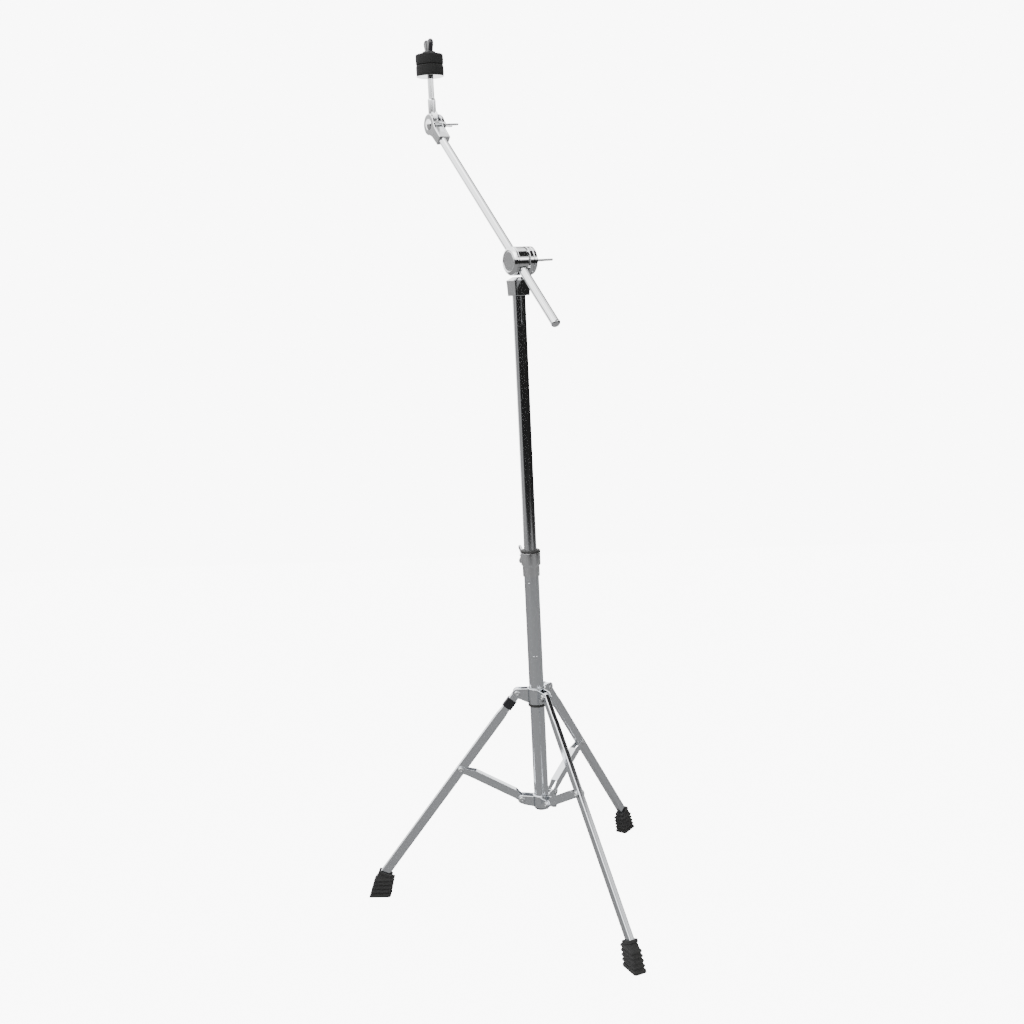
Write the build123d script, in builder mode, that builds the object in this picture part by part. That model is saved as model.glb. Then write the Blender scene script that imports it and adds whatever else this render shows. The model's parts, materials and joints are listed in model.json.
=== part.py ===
from build123d import *
import os
from math import atan2, cos, hypot, radians, sin, tan

# A boom stand for a cymbal: folding tripod, telescoping mast, ratchet tilter,
# boom arm and a tilting cymbal rod with two felts. Millimetres, +Z up, origin on
# the mast's axis at floor level. The legs point to 180, 300 and 60 degrees.
os.makedirs("parts", exist_ok=True)

# ---- Fits ---------------------------------------------------------------------
RUNNING = 0.05  # radial clearance of a shaft, tube or rivet that moves in its hole
SIDE_GAP = 0.35  # between flat faces of pieces that slide past each other
SEAM = 0.4  # axial gap between neighbouring discs of a tilter
FACE_GAP = 0.3  # between a fixed piece and the moving piece that rests on it

# ---- Tubes --------------------------------------------------------------------
BASE_TUBE_R = 11.1
MAST_WALL = 1.2
TUBE_PLAY = 0.35  # radial room between the middle tube and the base tube
BOOM_R = 6.35
BOOM_WALL = 1.5
ROD_R = 4.75

# ---- Tripod -------------------------------------------------------------------
LEG_AZIMUTHS = (180, 300, 60)
HINGE_R = 29.5  # distance of every inner hinge from the mast's axis
HINGE_Z = 328.0  # leg hinges, on the collar
BRACE_R = 121.9  # hinge between strut and leg
BRACE_Z = 207.5
BRACKET_Z = 158.1  # strut hinges, on the lower bracket
RIM_Z = 39.6  # middle of a foot's slanted rim
RIM_LEAN = 22.6
LEG_DEPTH = 15.0
LEG_WIDTH = 8.5
LEG_WALL = 1.2
LEG_ROUND = 2.2
LEG_FLOOR_GAP = 27.0  # rubber under the end of a leg
STRUT_WALL = 1.2
STRUT_EAR_R = 5.6
STRUT_LIP = 3.7  # how far the strut's flanges reach past its hinge line
RIVET_R = 2.5
RIVET_HEAD_R = 4.4
RIVET_HEAD_H = 1.5
EAR_T = 1.8

# ---- Mast ---------------------------------------------------------------------
BASE_TUBE_BOTTOM = 144.0
BASE_TUBE_TOP = 524.0
CLAMP_GRIP = 14.2  # overlap of the clamp's sleeve on the base tube
CLAMP_STEP = 3.2  # base tube's end to the clamp's shoulder
CLAMP_RISE = 21.5  # base tube's end to the clamp's top
CLAMP_SLEEVE_WALL = 1.7
CLAMP_RING_WALL = 3.0
BUSH_WALL = 2.0
BUSH_FLANGE_H = 3.5
TUBE_OVERLAP = 39.0  # middle tube inside the base tube at rest
BLOCK_H = 21.8
BLOCK_DROP = 27.2  # tilter's axis to the block's shoulder
SCREW_AZIMUTH = 122  # both wing screws of the mast point this way
SCREW_R = 3.0
BOSS_R = 5.5

# ---- Boom tilter, along its own axis from the mast's axis ----------------------
TILTER_HEADING = 34.5
TILTER_Z = 971.2
TILTER_R = 20.6
CAP_CHAMFER = 4.0
CAP_T = 6.5
FIXED_DISC_T = 7.3
OUTER_DISC_T = 6.6
EYE_LENGTH = 10.6
EYE_WALL = 1.2
EYE_SHANK_R = 4.0
LINER_WALL = 0.55
LINER_LENGTH = 33.0
BOOM_LEAN = 47.0  # boom's angle from upright

# ---- Boom and cymbal rod -------------------------------------------------------
BOOM_REACH = 319.3  # tilter's axis to rod hinge
BOOM_TAIL = 132.6  # tilter's axis to the boom's lower end
YOKE_LENGTH = 41.0
YOKE_BASE = 14.0
YOKE_DISC_R = 16.3
YOKE_START = -8.0
YOKE_EAR_T = 3.5
YOKE_END = 11.0
HINGE_BOLT_R = 3.0
HUB_R = 15.4
NECK_R = 6.2
NECK_TOP = 39.0
SEAT_H = 71.0  # rod hinge to the washer's underside
STUD_R = 3.0
STUD_REACH = 16.5  # stud above the seat of the top nut
WASHER_R = 21.3
WASHER_T = 1.2
SLEEVE_WALL = 1.7
FELT_R = 21.8
FELT_H = 16.0
TOP_NUT_FLANGE_R = 10.4
TOP_NUT_FLANGE_H = 4.0
TOP_NUT_H = 22.4
TOP_NUT_TURN = -6  # wings of the top nut, turned from the boom's heading

# ---- Wings: reach sideways, rise out along the screw, tip radius, thickness --------
MAST_SCREW_WINGS = (14.5, 15.5, 3.8, 3.0)
MAST_SCREW_HUB_R = 5.0
MAST_SCREW_HUB_H = 7.0
TILTER_NUT_WINGS = (16.5, 29.0, 4.6, 3.4)
TILTER_NUT_R = 7.6
TILTER_NUT_H = 7.5
ROD_NUT_WINGS = (14.5, 25.0, 4.4, 3.0)
ROD_NUT_R = 6.4
ROD_NUT_H = 6.5
TOP_NUT_WINGS = (14.5, TOP_NUT_H, 6.6, 8.0)
TOP_NUT_R = 6.6

# ---- Derived ------------------------------------------------------------------
UP = Vector(0, 0, 1)
TILT_AXIS = Vector(cos(radians(TILTER_HEADING)), sin(radians(TILTER_HEADING)), 0)
BOOM_SIDE = UP.cross(TILT_AXIS)
BOOM_DIR = BOOM_SIDE * sin(radians(BOOM_LEAN)) + UP * cos(radians(BOOM_LEAN))
TILTER = UP * TILTER_Z
MIDDLE_TUBE_R = BASE_TUBE_R - MAST_WALL - TUBE_PLAY
MIDDLE_TUBE_BOTTOM = BASE_TUBE_TOP - TUBE_OVERLAP
CLAMP_BOTTOM = BASE_TUBE_TOP - CLAMP_GRIP
CLAMP_SHOULDER = BASE_TUBE_TOP + CLAMP_STEP
CLAMP_TOP = BASE_TUBE_TOP + CLAMP_RISE
BLOCK_TOP = TILTER_Z - BLOCK_DROP
BLOCK_BOTTOM = BLOCK_TOP - BLOCK_H
BLOCK_WIDTH = 2 * MIDDLE_TUBE_R + 4.2
ROD_HINGE = TILTER + BOOM_DIR * BOOM_REACH
MIDDLE_TUBE_TOP = BLOCK_TOP - 4.0
LEG_TILT = atan2(BRACE_R - HINGE_R, HINGE_Z - BRACE_Z)
STRUT_TILT = atan2(BRACE_R - HINGE_R, BRACE_Z - BRACKET_Z)
STRUT_SPAN = hypot(BRACE_R - HINGE_R, BRACE_Z - BRACKET_Z)
LEG_LENGTH = (HINGE_Z - LEG_FLOOR_GAP) / cos(LEG_TILT)
STRUT_INSIDE = LEG_WIDTH / 2 + SIDE_GAP
STRUT_OUTSIDE = STRUT_INSIDE + STRUT_WALL
STRUT_WEB = LEG_DEPTH / 2 + FACE_GAP
RING_R = MIDDLE_TUBE_R + RUNNING + BUSH_WALL + RUNNING + CLAMP_RING_WALL
COLLAR_BUSH_R = BASE_TUBE_R + RUNNING + 0.9
COLLAR_R = COLLAR_BUSH_R + 1.75
COLLAR_BOTTOM = HINGE_Z - 16.5
COLLAR_TOP = HINGE_Z + 7.8
BOOM_BORE_R = BOOM_R + RUNNING + LINER_WALL + RUNNING
EYE_R = BOOM_BORE_R + EYE_WALL
CAP_END = -EYE_R - 0.3
CAP_START = CAP_END - CAP_T
HOLDER_END = EYE_R + 0.5
DISC_END = HOLDER_END + SEAM + FIXED_DISC_T
TILTER_END = DISC_END + SEAM + OUTER_DISC_T
YOKE_WIDTH = 2 * BOOM_R + 3.3


def radial_plane(azimuth, offset=0.0):
    """Upright plane through the mast's axis: x outward, y up, shifted sideways by offset."""
    turn = radians(azimuth)
    side = Vector(sin(turn), -cos(turn), 0)
    return Plane(origin=side * offset, x_dir=(cos(turn), sin(turn), 0), z_dir=side)


def link_plane(azimuth, height, tilt, upward):
    """Upright plane at an inner hinge: x along the leg (down) or the strut (up)."""
    turn = radians(azimuth)
    outward = Vector(cos(turn), sin(turn), 0)
    along = outward * sin(tilt) + UP * (cos(tilt) if upward else -cos(tilt))
    side = Vector(sin(turn), -cos(turn), 0)
    return Plane(origin=outward * HINGE_R + UP * height, x_dir=along, z_dir=side)


def foot_plane(azimuth, distance, height, lean=0.0):
    """Plane in a foot: x outward and lifted by lean, centred at a distance from the mast's axis."""
    turn = radians(azimuth)
    outward = Vector(cos(turn), sin(turn), 0)
    along = outward * cos(radians(lean)) + UP * sin(radians(lean))
    side = Vector(sin(turn), -cos(turn), 0)
    return Plane(origin=outward * distance + UP * height, x_dir=along, z_dir=side.cross(along))


def leg_reach(height):
    """Distance of a leg's centre line from the mast's axis at a height."""
    return HINGE_R + (HINGE_Z - height) * tan(LEG_TILT)


def screw_plane(height, distance):
    """Plane across a mast wing screw: z outward along the screw, x sideways, y up."""
    turn = radians(SCREW_AZIMUTH)
    outward = Vector(cos(turn), sin(turn), 0)
    return Plane(origin=outward * distance + UP * height, x_dir=UP.cross(outward), z_dir=outward)


def tilt_plane(centre, distance):
    """Plane across a tilter's axis: z along the axis, x sideways, y up."""
    return Plane(origin=centre + TILT_AXIS * distance, x_dir=BOOM_SIDE, z_dir=TILT_AXIS)


def fork_plane(centre, distance):
    """Plane across a tilter's axis with x pointing up the boom."""
    return Plane(origin=centre + TILT_AXIS * distance, x_dir=BOOM_DIR, z_dir=TILT_AXIS)


def boom_plane(distance):
    """Plane across the boom at a distance up it from the tilter."""
    return Plane(origin=TILTER + BOOM_DIR * distance, x_dir=TILT_AXIS, z_dir=BOOM_DIR)


def wings(face, sizes, root_r):
    """Pair of wings on a nut or screw whose hub stands on the face plane."""
    reach, rise, tip_r, thickness = sizes
    sideways = Plane(origin=face.origin, x_dir=face.x_dir, z_dir=face.z_dir.cross(face.x_dir) * -1)
    with BuildSketch(sideways, mode=Mode.PRIVATE) as outline:
        for side in (-1, 1):
            with BuildSketch(mode=Mode.PRIVATE) as wing:
                with Locations((side * (root_r - 2.0), root_r)):
                    Circle(root_r - 1.0)
                with Locations((side * (reach - tip_r), rise - tip_r)):
                    Circle(tip_r)
                make_hull()
            add(wing.sketch)
    return extrude(outline.sketch, amount=thickness / 2, both=True, mode=Mode.PRIVATE)


def wing_screw(face, shank):
    """Wing screw of the mast: its hub stands on the face plane, with the shank below it."""
    with BuildPart() as screw:
        with BuildSketch(face):
            Circle(MAST_SCREW_HUB_R)
        extrude(amount=MAST_SCREW_HUB_H, taper=6)
        add(wings(face, MAST_SCREW_WINGS, MAST_SCREW_HUB_R))
        with BuildSketch(face.offset(0.5)):
            Circle(SCREW_R)
        extrude(amount=-shank - 0.5)
    return screw.part


# ---- Base: tube, plug, bracket ---------------------------------------------------
with BuildPart() as base_tube:
    with BuildSketch(Plane.XY.offset(BASE_TUBE_BOTTOM)):
        Circle(BASE_TUBE_R)
        Circle(BASE_TUBE_R - MAST_WALL, mode=Mode.SUBTRACT)
    extrude(amount=BASE_TUBE_TOP - BASE_TUBE_BOTTOM)
    for dimple_turn, dimple_z in ((262, 388.0), (284, 388.0), (250, 501.0)):
        turn = radians(dimple_turn)
        with Locations((BASE_TUBE_R * 1.09 * cos(turn), BASE_TUBE_R * 1.09 * sin(turn), dimple_z)):
            Sphere(1.6, mode=Mode.SUBTRACT)
base_tube.part.label = "base_tube"
export_step(base_tube.part, "parts/base_tube.step")

with BuildPart() as base_plug:
    with BuildSketch(Plane.XY.offset(BASE_TUBE_BOTTOM)):
        Circle(BASE_TUBE_R)
    extrude(amount=-2.5)
    fillet(base_plug.faces().sort_by(Axis.Z)[0].edges(), 1.5)
    with BuildSketch(Plane.XY.offset(BASE_TUBE_BOTTOM)):
        Circle(BASE_TUBE_R - MAST_WALL)
    extrude(amount=10)
base_plug.part.label = "base_tube_plug"
export_step(base_plug.part, "parts/base_tube_plug.step")

BRACKET_EAR = STRUT_OUTSIDE + SIDE_GAP
BRACKET_DROP = 13.0  # bracket's lower edge below its hinges
BRACKET_ROOT_DROP = BRACKET_DROP - 1.0  # foot of each ear, just above that edge
BRACKET_H = 19.0
BRACKET_WALL = 1.9
BRACKET_EAR_R = 6.4
EAR_ROOT = 7.0  # ears start this far from the mast's axis, inside the sleeve's wall
with BuildPart() as lower_bracket:
    with BuildSketch(Plane.XY.offset(BRACKET_Z - BRACKET_DROP)):
        Circle(BASE_TUBE_R + BRACKET_WALL)
    extrude(amount=BRACKET_H)
    for azimuth in LEG_AZIMUTHS:
        for start, amount in ((BRACKET_EAR, EAR_T), (-BRACKET_EAR, -EAR_T)):
            with BuildSketch(radial_plane(azimuth, start)):
                with BuildLine():
                    Polyline((EAR_ROOT, BRACKET_Z - BRACKET_ROOT_DROP), (HINGE_R - 4, BRACKET_Z - 8),
                             (HINGE_R, BRACKET_Z - BRACKET_EAR_R), (HINGE_R, BRACKET_Z + BRACKET_EAR_R),
                             (HINGE_R - 5, BRACKET_Z + 6), (EAR_ROOT, BRACKET_Z + 4),
                             (EAR_ROOT, BRACKET_Z - BRACKET_ROOT_DROP))
                make_face()
                with Locations((HINGE_R, BRACKET_Z)):
                    Circle(BRACKET_EAR_R)
                with Locations((HINGE_R, BRACKET_Z)):
                    Circle(RIVET_R, mode=Mode.SUBTRACT)
            extrude(amount=amount)
    with BuildSketch(Plane.XY.offset(BRACKET_Z - BRACKET_DROP)):
        Circle(BASE_TUBE_R)
    extrude(amount=BRACKET_H, mode=Mode.SUBTRACT)
lower_bracket.part.label = "lower_bracket"
export_step(lower_bracket.part, "parts/lower_bracket.step")


def rivet(plane, half_grip):
    """Rivet along the plane's normal, with a domed head on each side of its grip."""
    with BuildPart() as pin:
        with BuildSketch(plane):
            Circle(RIVET_R)
        extrude(amount=half_grip, both=True)
        for side in (-1, 1):
            with BuildSketch(plane.offset(side * half_grip)):
                Circle(RIVET_HEAD_R)
            extrude(amount=side * RIVET_HEAD_H, taper=30)
    return pin.part


BRACKET_GRIP = BRACKET_EAR + EAR_T
with BuildPart() as strut_hinge_rivets:
    for azimuth in LEG_AZIMUTHS:
        add(rivet(link_plane(azimuth, BRACKET_Z, STRUT_TILT, True), BRACKET_GRIP))
strut_hinge_rivets.part.label = "strut_hinge_rivets"
export_step(strut_hinge_rivets.part, "parts/strut_hinge_rivets.step")

# ---- Leg collar -----------------------------------------------------------------
COLLAR_EAR = LEG_WIDTH / 2 + SIDE_GAP
COLLAR_EAR_R = 7.4
BOSS_Z = HINGE_Z - 5.0
with BuildPart() as leg_collar:
    with BuildSketch(Plane.XY.offset(COLLAR_BOTTOM)):
        Circle(COLLAR_R)
    extrude(amount=COLLAR_TOP - COLLAR_BOTTOM)
    for azimuth in LEG_AZIMUTHS:
        for start, amount in ((COLLAR_EAR, EAR_T), (-COLLAR_EAR, -EAR_T)):
            with BuildSketch(radial_plane(azimuth, start)):
                with BuildLine():
                    Polyline((EAR_ROOT, HINGE_Z - 15), (15, HINGE_Z - 14), (HINGE_R + 2, HINGE_Z - 7),
                             (HINGE_R + 2, HINGE_Z + 7), (HINGE_R - 6, HINGE_Z + 7.5),
                             (EAR_ROOT, HINGE_Z + 7.5), (EAR_ROOT, HINGE_Z - 15))
                make_face()
                with Locations((HINGE_R, HINGE_Z)):
                    Circle(COLLAR_EAR_R)
                with Locations((HINGE_R, HINGE_Z)):
                    Circle(RIVET_R, mode=Mode.SUBTRACT)
            extrude(amount=amount)
    with BuildSketch(screw_plane(BOSS_Z, 0)):
        Circle(BOSS_R)
    extrude(amount=COLLAR_R + 5.5)
    with BuildSketch(screw_plane(BOSS_Z, 0)):
        Circle(SCREW_R + RUNNING)
    extrude(amount=COLLAR_R + 10, mode=Mode.SUBTRACT)
    with BuildSketch(Plane.XY.offset(COLLAR_BOTTOM - 5)):
        Circle(COLLAR_BUSH_R)
    extrude(amount=50, mode=Mode.SUBTRACT)
leg_collar.part.label = "leg_collar"
export_step(leg_collar.part, "parts/leg_collar.step")

COLLAR_LIP_H = 4.0
with BuildPart() as collar_bush:
    with BuildSketch(Plane.XY.offset(COLLAR_BOTTOM)):
        Circle(COLLAR_BUSH_R)
    extrude(amount=COLLAR_TOP - COLLAR_BOTTOM)
    with BuildSketch(Plane.XY.offset(COLLAR_BOTTOM)):
        Circle(COLLAR_R)
    extrude(amount=-COLLAR_LIP_H)
    with BuildSketch(Plane.XY.offset(COLLAR_BOTTOM - COLLAR_LIP_H)):
        with PolarLocations(COLLAR_R, 16):
            Rectangle(1.6, 1.8)
    extrude(amount=1.6, mode=Mode.SUBTRACT)
    with BuildSketch(Plane.XY.offset(COLLAR_BOTTOM - 6)):
        Circle(BASE_TUBE_R + RUNNING)
    extrude(amount=50, mode=Mode.SUBTRACT)
collar_bush.part.label = "leg_collar_bush"
export_step(collar_bush.part, "parts/leg_collar_bush.step")

COLLAR_GRIP = COLLAR_EAR + EAR_T
with BuildPart() as leg_hinge_rivets:
    for azimuth in LEG_AZIMUTHS:
        add(rivet(link_plane(azimuth, HINGE_Z, LEG_TILT, False), COLLAR_GRIP))
leg_hinge_rivets.part.label = "leg_hinge_rivets"
export_step(leg_hinge_rivets.part, "parts/leg_hinge_rivets.step")

collar_screw = wing_screw(screw_plane(BOSS_Z, COLLAR_R + 6.0), COLLAR_R + 6.0 - COLLAR_BUSH_R - FACE_GAP)
collar_screw.label = "leg_collar_screw"
export_step(collar_screw, "parts/leg_collar_screw.step")

# ---- Legs, feet and struts --------------------------------------------------------
BAND_START = 13.0
BAND_END = 29.0
BAND_T = 0.35
SOLE_MIDDLE = leg_reach(LEG_FLOOR_GAP) + 1.0
SOLE_LENGTH = 33.0
SOLE_WIDTH = LEG_WIDTH + 8.5
SOLE_T = 4.4
RIM_MIDDLE = leg_reach(RIM_Z) - 0.8
RIM_LENGTH = LEG_DEPTH + 6.4
RIM_WIDTH = LEG_WIDTH + 5.0
CUFF_H = 5.0
FOOT_ROUND = 2.5
KNEE_Z = 29.0
FOOT_SECTIONS = ((SOLE_MIDDLE, 0.0, 0.0, SOLE_LENGTH, SOLE_WIDTH),
                 (leg_reach(KNEE_Z) - 3.0, KNEE_Z, 0.0, LEG_DEPTH + 13.5, RIM_WIDTH + 1.0),
                 (RIM_MIDDLE, RIM_Z, RIM_LEAN, RIM_LENGTH, RIM_WIDTH))
RIB_HEIGHTS = (0.0, 8.0, 14.4, 20.8, 27.2)
RIB_T = 2.8
for number, azimuth in enumerate(LEG_AZIMUTHS, start=1):
    plane = link_plane(azimuth, HINGE_Z, LEG_TILT, False)
    with BuildPart() as leg:
        with BuildSketch(plane):
            with Locations((LEG_LENGTH / 2, 0)):
                Rectangle(LEG_LENGTH, LEG_DEPTH)
            Circle(LEG_DEPTH / 2)
        extrude(amount=LEG_WIDTH / 2, both=True)
        fillet(leg.edges().filter_by(Axis((0, 0, 0), plane.x_dir)), LEG_ROUND)
        with BuildSketch(plane):
            with Locations(((LEG_LENGTH + LEG_DEPTH) / 2, 0)):
                Rectangle(LEG_LENGTH - LEG_DEPTH + 0.02, LEG_DEPTH - 2 * LEG_WALL)
        extrude(amount=LEG_WIDTH / 2 - LEG_WALL, both=True, mode=Mode.SUBTRACT)
        with BuildSketch(plane):
            Circle(RIVET_R + RUNNING)
        extrude(amount=LEG_WIDTH, both=True, mode=Mode.SUBTRACT)
    leg.part.label = f"leg_{number}"
    export_step(leg.part, f"parts/leg_{number}.step")

    with BuildPart() as foot:
        for distance, height, lean, length, width in FOOT_SECTIONS:
            with BuildSketch(foot_plane(azimuth, distance, height, lean)):
                RectangleRounded(length, width, FOOT_ROUND)
        loft(ruled=True)
        for rib_z in RIB_HEIGHTS:
            share = rib_z / RIM_Z
            distance = SOLE_MIDDLE + (RIM_MIDDLE - SOLE_MIDDLE) * share
            with BuildSketch(foot_plane(azimuth, distance, rib_z)):
                RectangleRounded(SOLE_LENGTH + 1.6 - 5.5 * share, SOLE_WIDTH + 4.0 - 1.5 * share, FOOT_ROUND)
            extrude(amount=RIB_T if rib_z else SOLE_T)
        with BuildSketch(foot_plane(azimuth, RIM_MIDDLE, RIM_Z, RIM_LEAN)):
            RectangleRounded(RIM_LENGTH + 1.4, RIM_WIDTH + 1.8, FOOT_ROUND)
        extrude(amount=-CUFF_H)
        with BuildSketch(plane.offset(-LEG_WIDTH / 2)):
            with Locations((LEG_LENGTH / 2, 0)):
                Rectangle(LEG_LENGTH, LEG_DEPTH)
        extrude(amount=LEG_WIDTH, mode=Mode.SUBTRACT)
    foot.part.label = f"foot_{number}"
    export_step(foot.part, f"parts/foot_{number}.step")

    strut_frame = link_plane(azimuth, BRACKET_Z, STRUT_TILT, True)
    with BuildPart() as strut:
        for start, amount in ((STRUT_INSIDE, STRUT_WALL), (-STRUT_INSIDE, -STRUT_WALL)):
            with BuildSketch(strut_frame.offset(start)):
                with BuildLine():
                    Polyline((0, -5.2), (10, -STRUT_LIP), (STRUT_SPAN - 14, -STRUT_LIP), (STRUT_SPAN, -5.2),
                             (STRUT_SPAN, 5.2), (STRUT_SPAN - 12, 5.4),
                             (STRUT_SPAN - 22, STRUT_WEB + STRUT_WALL),
                             (14, STRUT_WEB + STRUT_WALL), (5, 5.4), (0, 5.4), (0, -5.2))
                make_face()
                with Locations((0, 0), (STRUT_SPAN, 0)):
                    Circle(STRUT_EAR_R)
                with Locations((0, 0)):
                    Circle(RIVET_R + RUNNING, mode=Mode.SUBTRACT)
                with Locations((STRUT_SPAN, 0)):
                    Circle(RIVET_R, mode=Mode.SUBTRACT)
            extrude(amount=amount)
        with BuildSketch(strut_frame):
            with Locations((STRUT_SPAN / 2 - 4, STRUT_WEB + STRUT_WALL / 2)):
                Rectangle(STRUT_SPAN - 36, STRUT_WALL)
        extrude(amount=STRUT_INSIDE, both=True)
    strut.part.label = f"strut_{number}"
    export_step(strut.part, f"parts/strut_{number}.step")

    with BuildPart() as strut_rivets:
        for side in (-1, 1):
            with BuildSketch(strut_frame.offset(side * STRUT_INSIDE)):
                with Locations((STRUT_SPAN, 0)):
                    Circle(RIVET_R)
            extrude(amount=side * STRUT_WALL)
            with BuildSketch(strut_frame.offset(side * STRUT_OUTSIDE)):
                with Locations((STRUT_SPAN, 0)):
                    Circle(RIVET_HEAD_R)
            extrude(amount=side * RIVET_HEAD_H, taper=30)
    strut_rivets.part.label = f"strut_outer_rivets_{number}"
    export_step(strut_rivets.part, f"parts/strut_outer_rivets_{number}.step")

band_plane = link_plane(LEG_AZIMUTHS[0], HINGE_Z, LEG_TILT, False)
band_section = Plane(origin=band_plane.from_local_coords((BAND_START, 0, 0)), x_dir=band_plane.y_dir,
                     z_dir=band_plane.x_dir)
with BuildPart() as leg_band:
    with BuildSketch(band_section):
        RectangleRounded(LEG_DEPTH + 2 * BAND_T, LEG_WIDTH + 2 * BAND_T, LEG_ROUND + BAND_T)
        RectangleRounded(LEG_DEPTH, LEG_WIDTH, LEG_ROUND, mode=Mode.SUBTRACT)
    extrude(amount=BAND_END - BAND_START)
leg_band.part.label = "leg_band"
export_step(leg_band.part, "parts/leg_band.step")

# ---- Height clamp ---------------------------------------------------------------
BUSH_R = MIDDLE_TUBE_R + RUNNING + BUSH_WALL
CLAMP_SCREW_Z = (CLAMP_SHOULDER + CLAMP_TOP) / 2 + 1.0
with BuildPart() as height_clamp:
    with BuildSketch(Plane.XY.offset(CLAMP_BOTTOM)):
        Circle(BASE_TUBE_R + CLAMP_SLEEVE_WALL)
    extrude(amount=CLAMP_SHOULDER - CLAMP_BOTTOM)
    fillet(height_clamp.faces().sort_by(Axis.Z)[0].edges(), 0.6)
    with BuildSketch(Plane.XY.offset(CLAMP_SHOULDER)):
        Circle(RING_R)
    extrude(amount=CLAMP_TOP - CLAMP_SHOULDER)
    fillet(height_clamp.faces().filter_by(GeomType.PLANE).sort_by(Axis.Z)[-1].edges(), 0.8)
    with BuildSketch(screw_plane(CLAMP_SCREW_Z, 0)):
        Circle(BOSS_R)
    extrude(amount=RING_R + 5.5)
    with BuildSketch(screw_plane(CLAMP_SCREW_Z, 0)):
        Circle(SCREW_R + RUNNING)
    extrude(amount=RING_R + 10, mode=Mode.SUBTRACT)
    with BuildSketch(Plane.XY.offset(CLAMP_BOTTOM - 1)):
        Circle(BASE_TUBE_R)
    extrude(amount=BASE_TUBE_TOP - CLAMP_BOTTOM + 1, mode=Mode.SUBTRACT)
    with BuildSketch(Plane.XY.offset(BASE_TUBE_TOP)):
        Circle(BUSH_R + RUNNING)
    extrude(amount=50, mode=Mode.SUBTRACT)
height_clamp.part.label = "height_clamp"
export_step(height_clamp.part, "parts/height_clamp.step")

clamp_screw = wing_screw(screw_plane(CLAMP_SCREW_Z, RING_R + 6.0), RING_R + 6.0 - BUSH_R - RUNNING - FACE_GAP)
clamp_screw = clamp_screw.rotate(Axis(screw_plane(CLAMP_SCREW_Z, 0).origin, screw_plane(0, 0).z_dir), 90)
clamp_screw.label = "height_clamp_screw"
export_step(clamp_screw, "parts/height_clamp_screw.step")

with BuildPart() as height_bush:
    with BuildSketch(Plane.XY.offset(BASE_TUBE_TOP + FACE_GAP)):
        Circle(BUSH_R)
    extrude(amount=CLAMP_TOP - BASE_TUBE_TOP)
    with BuildSketch(Plane.XY.offset(CLAMP_TOP + FACE_GAP)):
        Circle(RING_R + 0.3)
    extrude(amount=BUSH_FLANGE_H)
    fillet(height_bush.faces().sort_by(Axis.Z)[-1].edges(), 1.0)
    with BuildSketch(Plane.XY.offset(BASE_TUBE_TOP - 1)):
        Circle(MIDDLE_TUBE_R + RUNNING)
    extrude(amount=50, mode=Mode.SUBTRACT)
height_bush.part.label = "height_bush"
export_step(height_bush.part, "parts/height_bush.step")

# ---- Middle tube and the fixed half of the boom tilter ---------------------------
with BuildPart() as middle_tube:
    with BuildSketch(Plane.XY.offset(MIDDLE_TUBE_BOTTOM)):
        Circle(MIDDLE_TUBE_R)
        Circle(MIDDLE_TUBE_R - MAST_WALL, mode=Mode.SUBTRACT)
    extrude(amount=MIDDLE_TUBE_TOP - MIDDLE_TUBE_BOTTOM)
middle_tube.part.label = "middle_tube"
export_step(middle_tube.part, "parts/middle_tube.step")

with BuildPart() as tube_guide:
    with BuildSketch(Plane.XY.offset(MIDDLE_TUBE_BOTTOM)):
        Circle(BASE_TUBE_R - MAST_WALL - RUNNING)
    extrude(amount=-6)
    with BuildSketch(Plane.XY.offset(MIDDLE_TUBE_BOTTOM)):
        Circle(MIDDLE_TUBE_R - MAST_WALL)
    extrude(amount=12)
    with BuildSketch(Plane.XY.offset(MIDDLE_TUBE_BOTTOM - 6)):
        Circle(MIDDLE_TUBE_R - MAST_WALL - 2.5)
    extrude(amount=18, mode=Mode.SUBTRACT)
tube_guide.part.label = "middle_tube_guide"
export_step(tube_guide.part, "parts/middle_tube_guide.step")

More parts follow.
